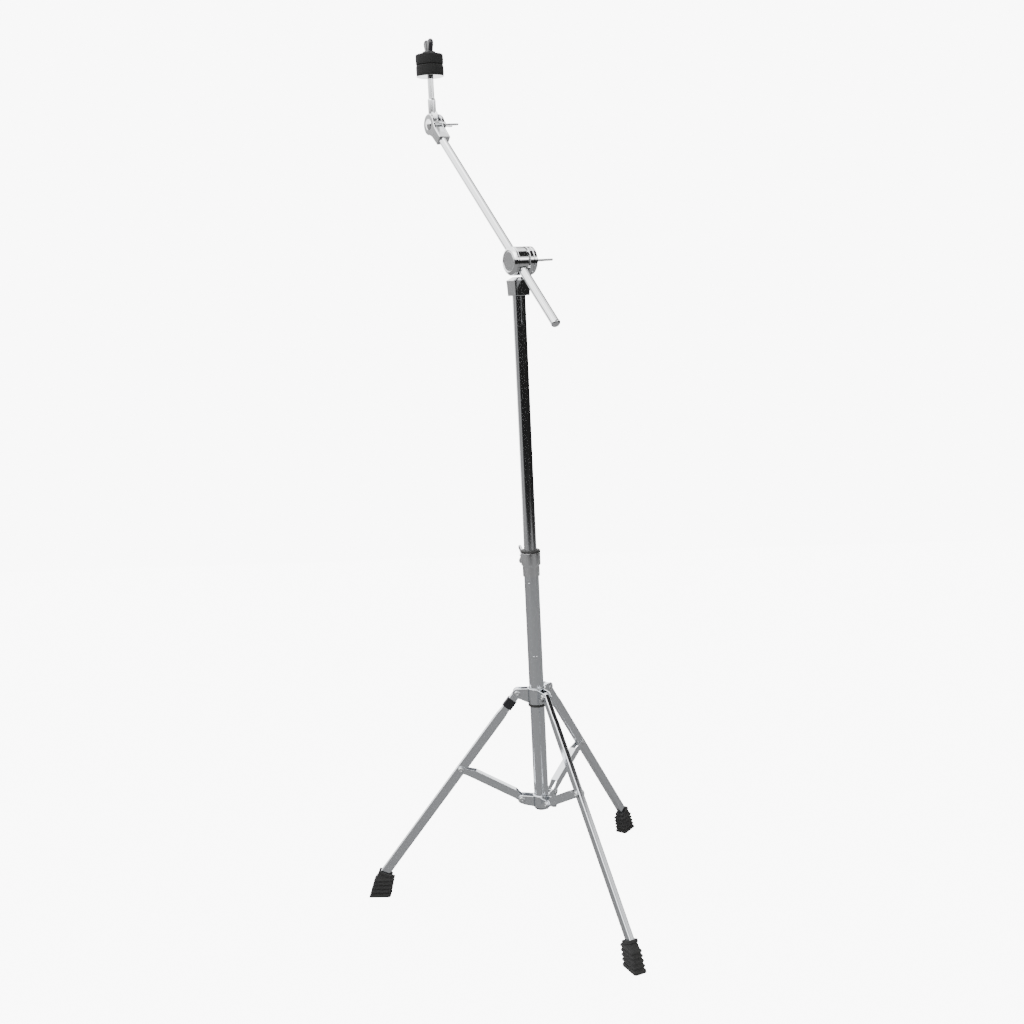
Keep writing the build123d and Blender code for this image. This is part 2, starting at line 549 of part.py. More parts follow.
PIN_Z = (BLOCK_BOTTOM + BLOCK_TOP) / 2 - 3.0
NECK_WIDTH = BLOCK_WIDTH - 5.0
with BuildPart() as tilter_base:
    with BuildSketch(Plane(origin=UP * BLOCK_BOTTOM, x_dir=TILT_AXIS, z_dir=UP)):
        RectangleRounded(BLOCK_WIDTH - 2.0, BLOCK_WIDTH - 2.0, 2.5)
    with BuildSketch(Plane(origin=UP * BLOCK_TOP, x_dir=TILT_AXIS, z_dir=UP)):
        RectangleRounded(BLOCK_WIDTH, BLOCK_WIDTH, 2.5)
    loft()
    with BuildSketch(Plane(origin=UP * BLOCK_TOP, x_dir=TILT_AXIS, z_dir=UP)):
        RectangleRounded(BLOCK_WIDTH, BLOCK_WIDTH, 2.5)
    with BuildSketch(Plane(origin=UP * (BLOCK_TOP + 5.0), x_dir=TILT_AXIS, z_dir=UP)):
        with Locations((3.5, 0)):
            RectangleRounded(BLOCK_WIDTH - 10, BLOCK_WIDTH - 7, 2.5)
    loft()
    with BuildSketch(tilt_plane(TILTER, HOLDER_END + SEAM)):
        Circle(TILTER_R)
        with Locations((0, (BLOCK_TOP - TILTER_Z) / 2)):
            Rectangle(NECK_WIDTH, TILTER_Z - BLOCK_TOP)
    extrude(amount=DISC_END - HOLDER_END - SEAM)
    with BuildSketch(tilt_plane(TILTER, CAP_START - 5)):
        Circle(TILTER_R + 1.4)
    extrude(amount=HOLDER_END + SEAM - CAP_START + 5, mode=Mode.SUBTRACT)
    with BuildSketch(tilt_plane(TILTER, 0)):
        Circle(EYE_SHANK_R + RUNNING)
    extrude(amount=40, mode=Mode.SUBTRACT)
    with BuildSketch(Plane.XY.offset(BLOCK_BOTTOM - 1)):
        Circle(MIDDLE_TUBE_R)
    extrude(amount=MIDDLE_TUBE_TOP - BLOCK_BOTTOM + 1, mode=Mode.SUBTRACT)
tilter_base.part.label = "tilter_base"
export_step(tilter_base.part, "parts/tilter_base.step")

with BuildPart() as outer_washer:
    with BuildSketch(tilt_plane(TILTER, DISC_END + SEAM)):
        Circle(TILTER_R)
    extrude(amount=TILTER_END - DISC_END - SEAM)
    fillet(outer_washer.edges().filter_by(GeomType.CIRCLE), 1.0)
    with BuildSketch(tilt_plane(TILTER, 0)):
        Circle(EYE_SHANK_R + RUNNING)
    extrude(amount=40, mode=Mode.SUBTRACT)
outer_washer.part.label = "tilter_outer_washer"
export_step(outer_washer.part, "parts/tilter_outer_washer.step")

with BuildPart() as tilter_shim:
    with BuildSketch(tilt_plane(TILTER, DISC_END)):
        Circle(EYE_SHANK_R + 3.0)
        Circle(EYE_SHANK_R + RUNNING, mode=Mode.SUBTRACT)
    extrude(amount=SEAM)
tilter_shim.part.label = "tilter_shim"
export_step(tilter_shim.part, "parts/tilter_shim.step")

# ---- Turning half of the boom tilter ---------------------------------------------
with BuildPart() as boom_holder:
    with BuildSketch(tilt_plane(TILTER, CAP_END)):
        Circle(TILTER_R)
    extrude(amount=HOLDER_END - CAP_END)
    fillet(boom_holder.edges().filter_by(GeomType.CIRCLE), 0.8)
    with BuildSketch(boom_plane(-TILTER_R - 5)):
        Circle(BOOM_BORE_R)
    extrude(amount=2 * TILTER_R + 10, mode=Mode.SUBTRACT)
    with BuildSketch(fork_plane(TILTER, CAP_END - 1)):
        Rectangle(EYE_LENGTH + 0.4, 2 * EYE_R + 0.4)
    extrude(amount=HOLDER_END - CAP_END + 2, mode=Mode.SUBTRACT)
boom_holder.part.label = "boom_holder"
export_step(boom_holder.part, "parts/boom_holder.step")

with BuildPart() as holder_cap:
    with BuildSketch(tilt_plane(TILTER, CAP_END)):
        Circle(TILTER_R)
    extrude(amount=CAP_START - CAP_END)
    chamfer(holder_cap.edges().filter_by(GeomType.CIRCLE).sort_by(Axis(TILTER, TILT_AXIS))[0], CAP_CHAMFER)
    with BuildSketch(tilt_plane(TILTER, CAP_START)):
        Circle(TILTER_R - CAP_CHAMFER - 2.0)
        Circle(TILTER_R - CAP_CHAMFER - 3.0, mode=Mode.SUBTRACT)
    extrude(amount=0.6, mode=Mode.SUBTRACT)
    with BuildSketch(boom_plane(-TILTER_R - 5)):
        Circle(BOOM_BORE_R)
    extrude(amount=2 * TILTER_R + 10, mode=Mode.SUBTRACT)
    with BuildSketch(fork_plane(TILTER, CAP_END - 1.0)):
        Rectangle(EYE_LENGTH + 0.4, 2 * EYE_R + 0.4)
    extrude(amount=2, mode=Mode.SUBTRACT)
holder_cap.part.label = "boom_holder_cap"
export_step(holder_cap.part, "parts/boom_holder_cap.step")

with BuildPart() as eye_bolt:
    with BuildSketch(boom_plane(-EYE_LENGTH / 2)):
        Circle(EYE_R)
    extrude(amount=EYE_LENGTH)
    with BuildSketch(tilt_plane(TILTER, 0)):
        Circle(EYE_SHANK_R)
    extrude(amount=TILTER_END + 10.0)
    with BuildSketch(boom_plane(-TILTER_R)):
        Circle(BOOM_BORE_R)
    extrude(amount=2 * TILTER_R, mode=Mode.SUBTRACT)
eye_bolt.part.label = "eye_bolt"
export_step(eye_bolt.part, "parts/eye_bolt.step")

tilter_nut_face = tilt_plane(TILTER, TILTER_END + SEAM)
with BuildPart() as tilter_nut:
    with BuildSketch(tilter_nut_face):
        Circle(TILTER_NUT_R)
    extrude(amount=TILTER_NUT_H, taper=8)
    add(wings(tilter_nut_face, TILTER_NUT_WINGS, TILTER_NUT_R - 0.8))
    with BuildSketch(tilter_nut_face.offset(-1)):
        Circle(EYE_SHANK_R + RUNNING)
    extrude(amount=TILTER_NUT_H + 6.5, mode=Mode.SUBTRACT)
tilter_nut.part.label = "tilter_wing_nut"
export_step(tilter_nut.part, "parts/tilter_wing_nut.step")

with BuildPart() as boom_liner:
    with BuildSketch(boom_plane(-LINER_LENGTH / 2)):
        Circle(BOOM_R + RUNNING + LINER_WALL)
        Circle(BOOM_R + RUNNING, mode=Mode.SUBTRACT)
    extrude(amount=LINER_LENGTH)
boom_liner.part.label = "boom_liner"
export_step(boom_liner.part, "parts/boom_liner.step")

# ---- Boom -----------------------------------------------------------------------
YOKE_FOOT = BOOM_REACH - YOKE_LENGTH
END_CAP_H = 5.0
with BuildPart() as boom_arm:
    with BuildSketch(boom_plane(-BOOM_TAIL + END_CAP_H)):
        Circle(BOOM_R)
        Circle(BOOM_R - BOOM_WALL, mode=Mode.SUBTRACT)
    extrude(amount=YOKE_FOOT + BOOM_TAIL - END_CAP_H)
boom_arm.part.label = "boom_arm"
export_step(boom_arm.part, "parts/boom_arm.step")

with BuildPart() as boom_end_cap:
    with BuildSketch(boom_plane(-BOOM_TAIL + END_CAP_H)):
        Circle(BOOM_R + 0.6)
    extrude(amount=-END_CAP_H)
    fillet(boom_end_cap.edges().filter_by(GeomType.CIRCLE).sort_by(Axis(TILTER, BOOM_DIR))[0], 3.0)
    with BuildSketch(boom_plane(-BOOM_TAIL + END_CAP_H)):
        Circle(BOOM_R - BOOM_WALL)
    extrude(amount=10)
boom_end_cap.part.label = "boom_end_cap"
export_step(boom_end_cap.part, "parts/boom_end_cap.step")

with BuildPart() as yoke:
    for start in (YOKE_START, YOKE_END - YOKE_EAR_T):
        with BuildSketch(fork_plane(ROD_HINGE, start)):
            with BuildLine():
                Polyline((-YOKE_LENGTH, -YOKE_WIDTH / 2), (-YOKE_LENGTH, YOKE_WIDTH / 2), (-20, 8.8),
                         (-9, 13.6),
                         (-9, -13.6), (-20, -8.8), (-YOKE_LENGTH, -YOKE_WIDTH / 2))
            make_face()
            Circle(YOKE_DISC_R)
        extrude(amount=YOKE_EAR_T)
    with BuildSketch(fork_plane(ROD_HINGE, YOKE_START)):
        with Locations((-YOKE_LENGTH + YOKE_BASE / 2, 0)):
            RectangleRounded(YOKE_BASE, YOKE_WIDTH, 1.5)
    extrude(amount=YOKE_END - YOKE_START)
    with BuildSketch(boom_plane(YOKE_FOOT)):
        Circle(BOOM_R - BOOM_WALL)
    extrude(amount=-14)
    with BuildSketch(fork_plane(ROD_HINGE, YOKE_START - 1)):
        Circle(HINGE_BOLT_R)
    extrude(amount=YOKE_END - YOKE_START + 2, mode=Mode.SUBTRACT)
yoke.part.label = "boom_yoke"
export_step(yoke.part, "parts/boom_yoke.step")

LOCK_WASHER_R = 15.0
LOCK_WASHER_T = 3.2
with BuildPart() as hinge_bolt:
    with BuildSketch(tilt_plane(ROD_HINGE, YOKE_START)):
        Circle(HINGE_BOLT_R)
    extrude(amount=YOKE_END - YOKE_START + LOCK_WASHER_T + 8.5)
    with BuildSketch(tilt_plane(ROD_HINGE, YOKE_START)):
        Circle(8.5)
    extrude(amount=-2.6, taper=24)
hinge_bolt.part.label = "rod_hinge_bolt"
export_step(hinge_bolt.part, "parts/rod_hinge_bolt.step")

with BuildPart() as lock_washer:
    with BuildSketch(tilt_plane(ROD_HINGE, YOKE_END)):
        Circle(LOCK_WASHER_R)
        Circle(HINGE_BOLT_R, mode=Mode.SUBTRACT)
    extrude(amount=LOCK_WASHER_T)
lock_washer.part.label = "rod_hinge_washer"
export_step(lock_washer.part, "parts/rod_hinge_washer.step")

rod_nut_face = tilt_plane(ROD_HINGE, YOKE_END + LOCK_WASHER_T + SEAM)
with BuildPart() as rod_nut:
    with BuildSketch(rod_nut_face):
        Circle(ROD_NUT_R)
    extrude(amount=ROD_NUT_H, taper=8)
    add(wings(rod_nut_face, ROD_NUT_WINGS, ROD_NUT_R - 0.4))
    with BuildSketch(rod_nut_face.offset(-1)):
        Circle(HINGE_BOLT_R + RUNNING)
    extrude(amount=ROD_NUT_H + 5.5, mode=Mode.SUBTRACT)
rod_nut.part.label = "rod_wing_nut"
export_step(rod_nut.part, "parts/rod_wing_nut.step")

# ---- Cymbal rod, felts and top nut -------------------------------------------------
HUB_START = YOKE_START + YOKE_EAR_T + SIDE_GAP
HUB_END = YOKE_END - YOKE_EAR_T - SIDE_GAP
NECK_START = HUB_R + 4.0
FELT_SEAT = SEAT_H + WASHER_T
NUT_SEAT = FELT_SEAT + 2 * FELT_H + FACE_GAP
STUD_TOP = NUT_SEAT + STUD_REACH


def rod_plane(height):
    """Level plane at a height above the rod's hinge, centred on the rod."""
    return Plane(origin=ROD_HINGE + UP * height, x_dir=TILT_AXIS, z_dir=UP)


with BuildPart() as cymbal_rod:
    with BuildSketch(tilt_plane(ROD_HINGE, HUB_START)):
        Circle(HUB_R)
    extrude(amount=HUB_END - HUB_START)
    with BuildSketch(rod_plane(NECK_START)):
        Circle(NECK_R)
    extrude(amount=NECK_TOP - NECK_START)
    fillet(cymbal_rod.faces().sort_by(Axis.Z)[-1].edges(), 1.6)
    with BuildSketch(rod_plane(0)):
        with Locations(((HUB_START + HUB_END) / 2, 0)):
            Rectangle(HUB_END - HUB_START, 2 * NECK_R)
    extrude(amount=NECK_START)
    with BuildSketch(rod_plane(NECK_TOP)):
        Circle(ROD_R)
    extrude(amount=SEAT_H - NECK_TOP)
    with BuildSketch(rod_plane(SEAT_H)):
        Circle(STUD_R)
    extrude(amount=STUD_TOP - SEAT_H)
    chamfer(cymbal_rod.faces().sort_by(Axis.Z)[-1].edges(), 0.8)
    with BuildSketch(tilt_plane(ROD_HINGE, HUB_START - 1)):
        Circle(HINGE_BOLT_R + RUNNING)
    extrude(amount=30, mode=Mode.SUBTRACT)
cymbal_rod.part.label = "cymbal_rod"
export_step(cymbal_rod.part, "parts/cymbal_rod.step")

with BuildPart() as seat_washer:
    with BuildSketch(rod_plane(SEAT_H)):
        Circle(WASHER_R)
    extrude(amount=WASHER_T)
    fillet(seat_washer.edges().sort_by(Axis.Z)[0], 0.8)
    with BuildSketch(rod_plane(SEAT_H - 1)):
        Circle(STUD_R)
    extrude(amount=WASHER_T + 2, mode=Mode.SUBTRACT)
seat_washer.part.label = "seat_washer"
export_step(seat_washer.part, "parts/seat_washer.step")

SLEEVE_R = STUD_R + SLEEVE_WALL
SLEEVE_TOP = FELT_SEAT + 2 * FELT_H - 1.0
with BuildPart() as sleeve:
    with BuildSketch(rod_plane(FELT_SEAT)):
        Circle(SLEEVE_R)
        Circle(STUD_R, mode=Mode.SUBTRACT)
    extrude(amount=SLEEVE_TOP - FELT_SEAT)
sleeve.part.label = "cymbal_sleeve"
export_step(sleeve.part, "parts/cymbal_sleeve.step")

for name, height in (("lower_felt", FELT_SEAT), ("upper_felt", FELT_SEAT + FELT_H + 0.1)):
    with BuildPart() as felt:
        with BuildSketch(rod_plane(height)):
            Circle(FELT_R)
        extrude(amount=FELT_H)
        fillet(felt.edges(), 1.4)
        with BuildSketch(rod_plane(height - 1)):
            Circle(SLEEVE_R + FACE_GAP)
        extrude(amount=FELT_H + 2, mode=Mode.SUBTRACT)
    felt.part.label = name
    export_step(felt.part, f"parts/{name}.step")

nut_face = Plane(origin=ROD_HINGE + UP * NUT_SEAT, x_dir=BOOM_SIDE, z_dir=UP).rotated((0, 0, TOP_NUT_TURN))
with BuildPart() as top_nut:
    with BuildSketch(nut_face):
        Circle(TOP_NUT_FLANGE_R)
    extrude(amount=TOP_NUT_FLANGE_H)
    fillet(top_nut.edges(), 0.8)
    with BuildSketch(nut_face.offset(TOP_NUT_FLANGE_H - 0.5)):
        Circle(TOP_NUT_R)
    extrude(amount=14.0, taper=4)
    add(wings(nut_face, TOP_NUT_WINGS, TOP_NUT_R + 0.6))
    with BuildSketch(nut_face.offset(-1)):
        Circle(STUD_R + RUNNING)
    extrude(amount=STUD_REACH + 2, mode=Mode.SUBTRACT)
top_nut.part.label = "top_wing_nut"
export_step(top_nut.part, "parts/top_wing_nut.step")
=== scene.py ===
"""Looks for a boom cymbal stand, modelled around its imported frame.

The frame gives every place and size: joints give the hinges and axes, and the CAD nodes' boxes
give the heights. Each sub-assembly is a class that models its pieces with edit-mode operators
and applied modifiers, and each finish is a frozen dataclass that makes one node material.
"""

import json
import logging
import math
from dataclasses import dataclass
from enum import Enum
from typing import Iterable, Sequence

import bpy
from mathutils import Matrix, Vector


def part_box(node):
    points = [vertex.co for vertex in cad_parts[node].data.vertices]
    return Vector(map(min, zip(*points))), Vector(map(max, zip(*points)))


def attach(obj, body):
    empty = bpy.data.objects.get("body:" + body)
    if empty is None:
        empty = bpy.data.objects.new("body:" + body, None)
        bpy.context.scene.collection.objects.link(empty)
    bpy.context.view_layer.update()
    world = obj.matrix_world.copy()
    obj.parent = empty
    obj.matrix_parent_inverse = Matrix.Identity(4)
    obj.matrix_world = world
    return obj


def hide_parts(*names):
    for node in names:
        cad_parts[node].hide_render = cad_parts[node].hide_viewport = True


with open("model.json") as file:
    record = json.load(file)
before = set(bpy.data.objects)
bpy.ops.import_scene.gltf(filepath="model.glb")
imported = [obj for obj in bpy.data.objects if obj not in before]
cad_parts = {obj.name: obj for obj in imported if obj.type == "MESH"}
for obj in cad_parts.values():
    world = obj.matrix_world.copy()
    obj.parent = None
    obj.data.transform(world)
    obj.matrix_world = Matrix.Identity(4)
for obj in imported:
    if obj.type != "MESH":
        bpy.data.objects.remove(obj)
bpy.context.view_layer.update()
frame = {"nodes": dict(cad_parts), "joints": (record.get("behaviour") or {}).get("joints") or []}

LOG = logging.getLogger("cymbal_stand")
MM = 0.001
UP = Vector((0, 0, 1))
JOINTS = {joint["name"]: joint for joint in frame["joints"]}
Point = tuple[float, float]


# ---------------------------------------------------------------------------------------------
# Measures taken from the frame
# ---------------------------------------------------------------------------------------------


def joint_place(name: str) -> Vector:
    """Point on a hinge's axis, in metres."""
    return Vector(JOINTS[name]["pos_m"])


def joint_axis(name: str) -> Vector:
    """Unit axis of a joint."""
    return Vector(JOINTS[name]["axis"]).normalized()


def low(node: str) -> float:
    """Height of a CAD node's lowest point, in metres."""
    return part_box(node)[0].z


def high(node: str) -> float:
    """Height of a CAD node's highest point, in metres."""
    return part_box(node)[1].z


def radius_of(node: str) -> float:
    """Radius of an upright round CAD node about the mast, in metres."""
    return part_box(node)[1].x


def span_along(node: str, origin: Vector, axis: Vector) -> tuple[float, float]:
    """Reach of a CAD node along an axis.

    Args:
        node: name of the CAD node.
        origin: point that counts as zero.
        axis: unit direction to measure along.

    Returns:
        Lowest and highest distance from origin, in metres.
    """
    reach = [(vertex.co - origin).dot(axis) for vertex in frame["nodes"][node].data.vertices]
    return min(reach), max(reach)


def axes(origin: Vector, z: Vector, x: Vector) -> Matrix:
    """Placement matrix of a piece's own axes.

    Args:
        origin: where the piece's zero point goes.
        z: direction of the piece's own Z.
        x: direction of the piece's own X, made square to z.

    Returns:
        The 4 by 4 matrix from the piece's axes to the row frame.
    """
    z = z.normalized()
    x = (x - z * x.dot(z)).normalized()
    y = z.cross(x)
    turn = Matrix((x, y, z)).transposed().to_4x4()
    return Matrix.Translation(origin) @ turn


# ---------------------------------------------------------------------------------------------
# Finishes
# ---------------------------------------------------------------------------------------------


class Marks(Enum):
    """Kinds of fine surface marks, each a shader node group."""

    POLISH = "polish_marks"
    GRAIN = "moulded_grain"
    FIBRE = "felt_fibre"


def new_group(name: str, inputs: dict[str, float], outputs: Sequence[str]) -> bpy.types.NodeTree:
    """Empty shader group with float sockets.

    Args:
        name: name of the group.
        inputs: socket names with their defaults.
        outputs: names of the float outputs.

    Returns:
        The node tree, with its Group Input and Group Output in place.
    """
    tree = bpy.data.node_groups.new(name, "ShaderNodeTree")
    for label, value in inputs.items():
        socket = tree.interface.new_socket(label, in_out="INPUT", socket_type="NodeSocketFloat")
        socket.default_value = value
    for label in outputs:
        tree.interface.new_socket(label, in_out="OUTPUT", socket_type="NodeSocketFloat")
    tree.nodes.new("NodeGroupInput").name = "in"
    tree.nodes.new("NodeGroupOutput").name = "out"
    return tree


def noise(tree: bpy.types.NodeTree, vector: bpy.types.NodeSocket, scale: float, detail: float) -> bpy.types.Node:
    """Noise texture reading a vector socket."""
    node = tree.nodes.new("ShaderNodeTexNoise")
    node.inputs["Scale"].default_value = scale
    node.inputs["Detail"].default_value = detail
    tree.links.new(vector, node.inputs["Vector"])
    return node


def blend_values(tree: bpy.types.NodeTree, kind: str, first: bpy.types.NodeSocket,
                 second: bpy.types.NodeSocket | float) -> bpy.types.NodeSocket:
    """Math node on two values.

    Args:
        tree: node tree to work in.
        kind: Math node operation.
        first: first value.
        second: second value, a socket or a number.

    Returns:
        The result's socket.
    """
    node = tree.nodes.new("ShaderNodeMath")
    node.operation = kind
    tree.links.new(first, node.inputs[0])
    if isinstance(second, (int, float)):
        node.inputs[1].default_value = second
    else:
        tree.links.new(second, node.inputs[1])
    return node.outputs[0]


def ramp(tree: bpy.types.NodeTree, value: bpy.types.NodeSocket, start: float, end: float,
         to_low: float = 0.0, to_high: float = 1.0) -> bpy.types.NodeSocket:
    """Smooth Map Range of a value.

    Args:
        tree: node tree to work in.
        value: socket to remap.
        start: input value that gives to_low.
        end: input value that gives to_high.
        to_low: output at start.
        to_high: output at end.

    Returns:
        The remapped socket.
    """
    node = tree.nodes.new("ShaderNodeMapRange")
    node.interpolation_type = "SMOOTHSTEP"
    tree.links.new(value, node.inputs["Value"])
    for label, number in (("From Min", start), ("From Max", end), ("To Min", to_low), ("To Max", to_high)):
        node.inputs[label].default_value = number
    return node.outputs["Result"]


def polish_group() -> bpy.types.NodeTree:
    """Plated metal: faint smears, fine wiping scratches and the ripple of drawn steel."""
    tree = new_group(Marks.POLISH.value, {"Smear": 1.0, "Ripple": 1.0}, ("Haze", "Height"))
    place = tree.nodes.new("ShaderNodeTexCoord").outputs["Object"]
    given, result = tree.nodes["in"], tree.nodes["out"]
    smear = ramp(tree, noise(tree, place, 26.0, 3.0).outputs["Fac"], 0.46, 0.72)
    specks = ramp(tree, noise(tree, place, 900.0, 2.0).outputs["Fac"], 0.66, 0.78)
    scratch_map = tree.nodes.new("ShaderNodeMapping")
    scratch_map.inputs["Scale"].default_value = (900.0, 900.0, 60.0)
    scratch_map.inputs["Rotation"].default_value = (0.5, 0.3, 0.0)
    tree.links.new(place, scratch_map.inputs["Vector"])
    scratches = ramp(tree, noise(tree, scratch_map.outputs["Vector"], 1.0, 2.0).outputs["Fac"], 0.62, 0.7)
    haze = blend_values(tree, "ADD", blend_values(tree, "MULTIPLY", smear, 0.6),
                        blend_values(tree, "MULTIPLY", specks, 0.5))
    haze = blend_values(tree, "ADD", haze, blend_values(tree, "MULTIPLY", scratches, 0.35))
    tree.links.new(blend_values(tree, "MULTIPLY", haze, given.outputs["Smear"]), result.inputs["Haze"])
    ripple = noise(tree, place, 55.0, 1.0).outputs["Fac"]
    tree.links.new(blend_values(tree, "MULTIPLY", ripple, given.outputs["Ripple"]), result.inputs["Height"])
    return tree


def grain_group() -> bpy.types.NodeTree:
    """Moulded rubber and plastic: fine grain, soft mottling and pale dust in soft patches and specks."""
    tree = new_group(Marks.GRAIN.value, {"Grain": 1.0, "Dust": 1.0}, ("Dust", "Height"))
    place = tree.nodes.new("ShaderNodeTexCoord").outputs["Object"]
    given, result = tree.nodes["in"], tree.nodes["out"]
    fine = noise(tree, place, 2600.0, 3.0).outputs["Fac"]
    broad = noise(tree, place, 240.0, 2.0).outputs["Fac"]
    height = blend_values(tree, "ADD", fine, blend_values(tree, "MULTIPLY", broad, 0.8))
    tree.links.new(blend_values(tree, "MULTIPLY", height, given.outputs["Grain"]), result.inputs["Height"])
    patch = ramp(tree, noise(tree, place, 120.0, 4.0).outputs["Fac"], 0.5, 0.75)
    speck = ramp(tree, noise(tree, place, 1700.0, 2.0).outputs["Fac"], 0.58, 0.72)
    dust = blend_values(tree, "ADD", blend_values(tree, "MULTIPLY", patch, 0.5),
                        blend_values(tree, "MULTIPLY", speck, 0.5))
    tree.links.new(blend_values(tree, "MULTIPLY", dust, given.outputs["Dust"]), result.inputs["Dust"])
    return tree


def fibre_group() -> bpy.types.NodeTree:
    """Pressed felt: short tangled fibres lying mostly level, with lighter stray ones."""
    tree = new_group(Marks.FIBRE.value, {"Fuzz": 1.0}, ("Stray", "Height"))
    place = tree.nodes.new("ShaderNodeTexCoord").outputs["Object"]
    given, result = tree.nodes["in"], tree.nodes["out"]
    mat = tree.nodes.new("ShaderNodeMapping")
    mat.inputs["Scale"].default_value = (1.0, 1.0, 2.4)
    tree.links.new(place, mat.inputs["Vector"])
    tangle = noise(tree, mat.outputs["Vector"], 1500.0, 4.0)
    tangle.inputs["Distortion"].default_value = 1.6
    clumps = noise(tree, place, 330.0, 3.0).outputs["Fac"]
    height = blend_values(tree, "ADD", tangle.outputs["Fac"], blend_values(tree, "MULTIPLY", clumps, 1.2))
    tree.links.new(blend_values(tree, "MULTIPLY", height, given.outputs["Fuzz"]), result.inputs["Height"])
    strays = noise(tree, mat.outputs["Vector"], 2300.0, 3.0)
    strays.inputs["Distortion"].default_value = 2.5
    tree.links.new(ramp(tree, strays.outputs["Fac"], 0.55, 0.75), result.inputs["Stray"])
    return tree


GROUPS = {Marks.POLISH: polish_group(), Marks.GRAIN: grain_group(), Marks.FIBRE: fibre_group()}


@dataclass(frozen=True)
class Finish:
    """What every finish has: a name, a colour, its gloss and its marks.

    Args:
        name: the material's name.
        color: linear base colour.
        roughness: gloss of the clean surface.
        relief: depth of the marks, as the bump's distance in metres.
    """

    name: str
    color: tuple[float, float, float]
    roughness: float
    relief: float = 0.00001

    def start(self) -> tuple[bpy.types.NodeTree, bpy.types.Node]:
        """New material with its shader's plain values set.

        Returns:
            The material's node tree and its Principled shader.
        """
        material = bpy.data.materials.new(self.name)
        material.use_nodes = True
        tree = material.node_tree
        shader = tree.nodes["Principled BSDF"]
        shader.inputs["Base Color"].default_value = (*self.color, 1.0)
        shader.inputs["Roughness"].default_value = self.roughness
        return tree, shader

    def marks(self, tree: bpy.types.NodeTree, kind: Marks, values: dict[str, float]) -> bpy.types.Node:
        """Adds a mark group with its own values."""
        node = tree.nodes.new("ShaderNodeGroup")
        node.node_tree = GROUPS[kind]
        for label, value in values.items():
            node.inputs[label].default_value = value
        return node

    def bump(self, tree: bpy.types.NodeTree, shader: bpy.types.Node, height: bpy.types.NodeSocket,
             strength: float) -> None:
        """Leads a height into the shader's normal.

        Args:
            tree: the material's node tree.
            shader: its Principled shader.
            height: height to read.
            strength: share of the relief that shows.
        """
        node = tree.nodes.new("ShaderNodeBump")
        node.inputs["Strength"].default_value = strength
        node.inputs["Distance"].default_value = self.relief
        tree.links.new(height, node.inputs["Height"])
        tree.links.new(node.outputs["Normal"], shader.inputs["Normal"])


@dataclass(frozen=True)
class Plated(Finish):
    """Chrome or zinc plate over steel.

    Args:
        haze: how much roughness the smears and scratches add.
        smear: amount of marks.
        ripple: amount of low waviness.
    """

    haze: float = 0.16
    smear: float = 1.0
    ripple: float = 1.0

    def material(self) -> bpy.types.Material:
        """Builds the plated metal."""
        tree, shader = self.start()
        shader.inputs["Metallic"].default_value = 1.0
        marks = self.marks(tree, Marks.POLISH, {"Smear": self.smear, "Ripple": self.ripple})
        rough = ramp(tree, marks.outputs["Haze"], 0.0, 1.0, self.roughness, self.roughness + self.haze)
        tree.links.new(rough, shader.inputs["Roughness"])
        self.bump(tree, shader, marks.outputs["Height"], 0.35)
        return bpy.data.materials[self.name]


@dataclass(frozen=True)
class Moulded(Finish):
    """Rubber, nylon or plastic from a mould.

    Args:
        grain: depth of the grain.
        dust: amount of pale dust.
        shine: strength of its clear reflection.
        dust_color: linear colour of the dust.
    """

    grain: float = 1.0
    dust: float = 0.5
    shine: float = 0.03
    dust_color: tuple[float, float, float] = (0.006, 0.006, 0.006)

    def material(self) -> bpy.types.Material:
        """Builds the moulded finish."""
        tree, shader = self.start()
        shader.inputs["Specular IOR Level"].default_value = self.shine
        marks = self.marks(tree, Marks.GRAIN, {"Grain": self.grain, "Dust": self.dust})
        mix = tree.nodes.new("ShaderNodeMix")
        mix.data_type = "RGBA"
        mix.inputs["A"].default_value = (*self.color, 1.0)
        mix.inputs["B"].default_value = (*self.dust_color, 1.0)
        tree.links.new(blend_values(tree, "MULTIPLY", marks.outputs["Dust"], 0.35), mix.inputs["Factor"])
        tree.links.new(mix.outputs["Result"], shader.inputs["Base Color"])
        rough = ramp(tree, marks.outputs["Dust"], 0.0, 1.0, self.roughness, min(1.0, self.roughness + 0.3))
        tree.links.new(rough, shader.inputs["Roughness"])
        self.bump(tree, shader, marks.outputs["Height"], 0.5)
        return bpy.data.materials[self.name]


@dataclass(frozen=True)
class Felted(Finish):
    """Pressed wool felt with stray fibres."""

    stray_color: tuple[float, float, float] = (0.003, 0.003, 0.0032)

    def material(self) -> bpy.types.Material:
        """Builds the felt."""
        tree, shader = self.start()
        shader.inputs["Specular IOR Level"].default_value = 0.0
        marks = self.marks(tree, Marks.FIBRE, {"Fuzz": 1.0})
        mix = tree.nodes.new("ShaderNodeMix")
        mix.data_type = "RGBA"
        mix.inputs["A"].default_value = (*self.color, 1.0)
        mix.inputs["B"].default_value = (*self.stray_color, 1.0)
        tree.links.new(marks.outputs["Stray"], mix.inputs["Factor"])
        tree.links.new(mix.outputs["Result"], shader.inputs["Base Color"])
        self.bump(tree, shader, marks.outputs["Height"], 0.9)
        return bpy.data.materials[self.name]


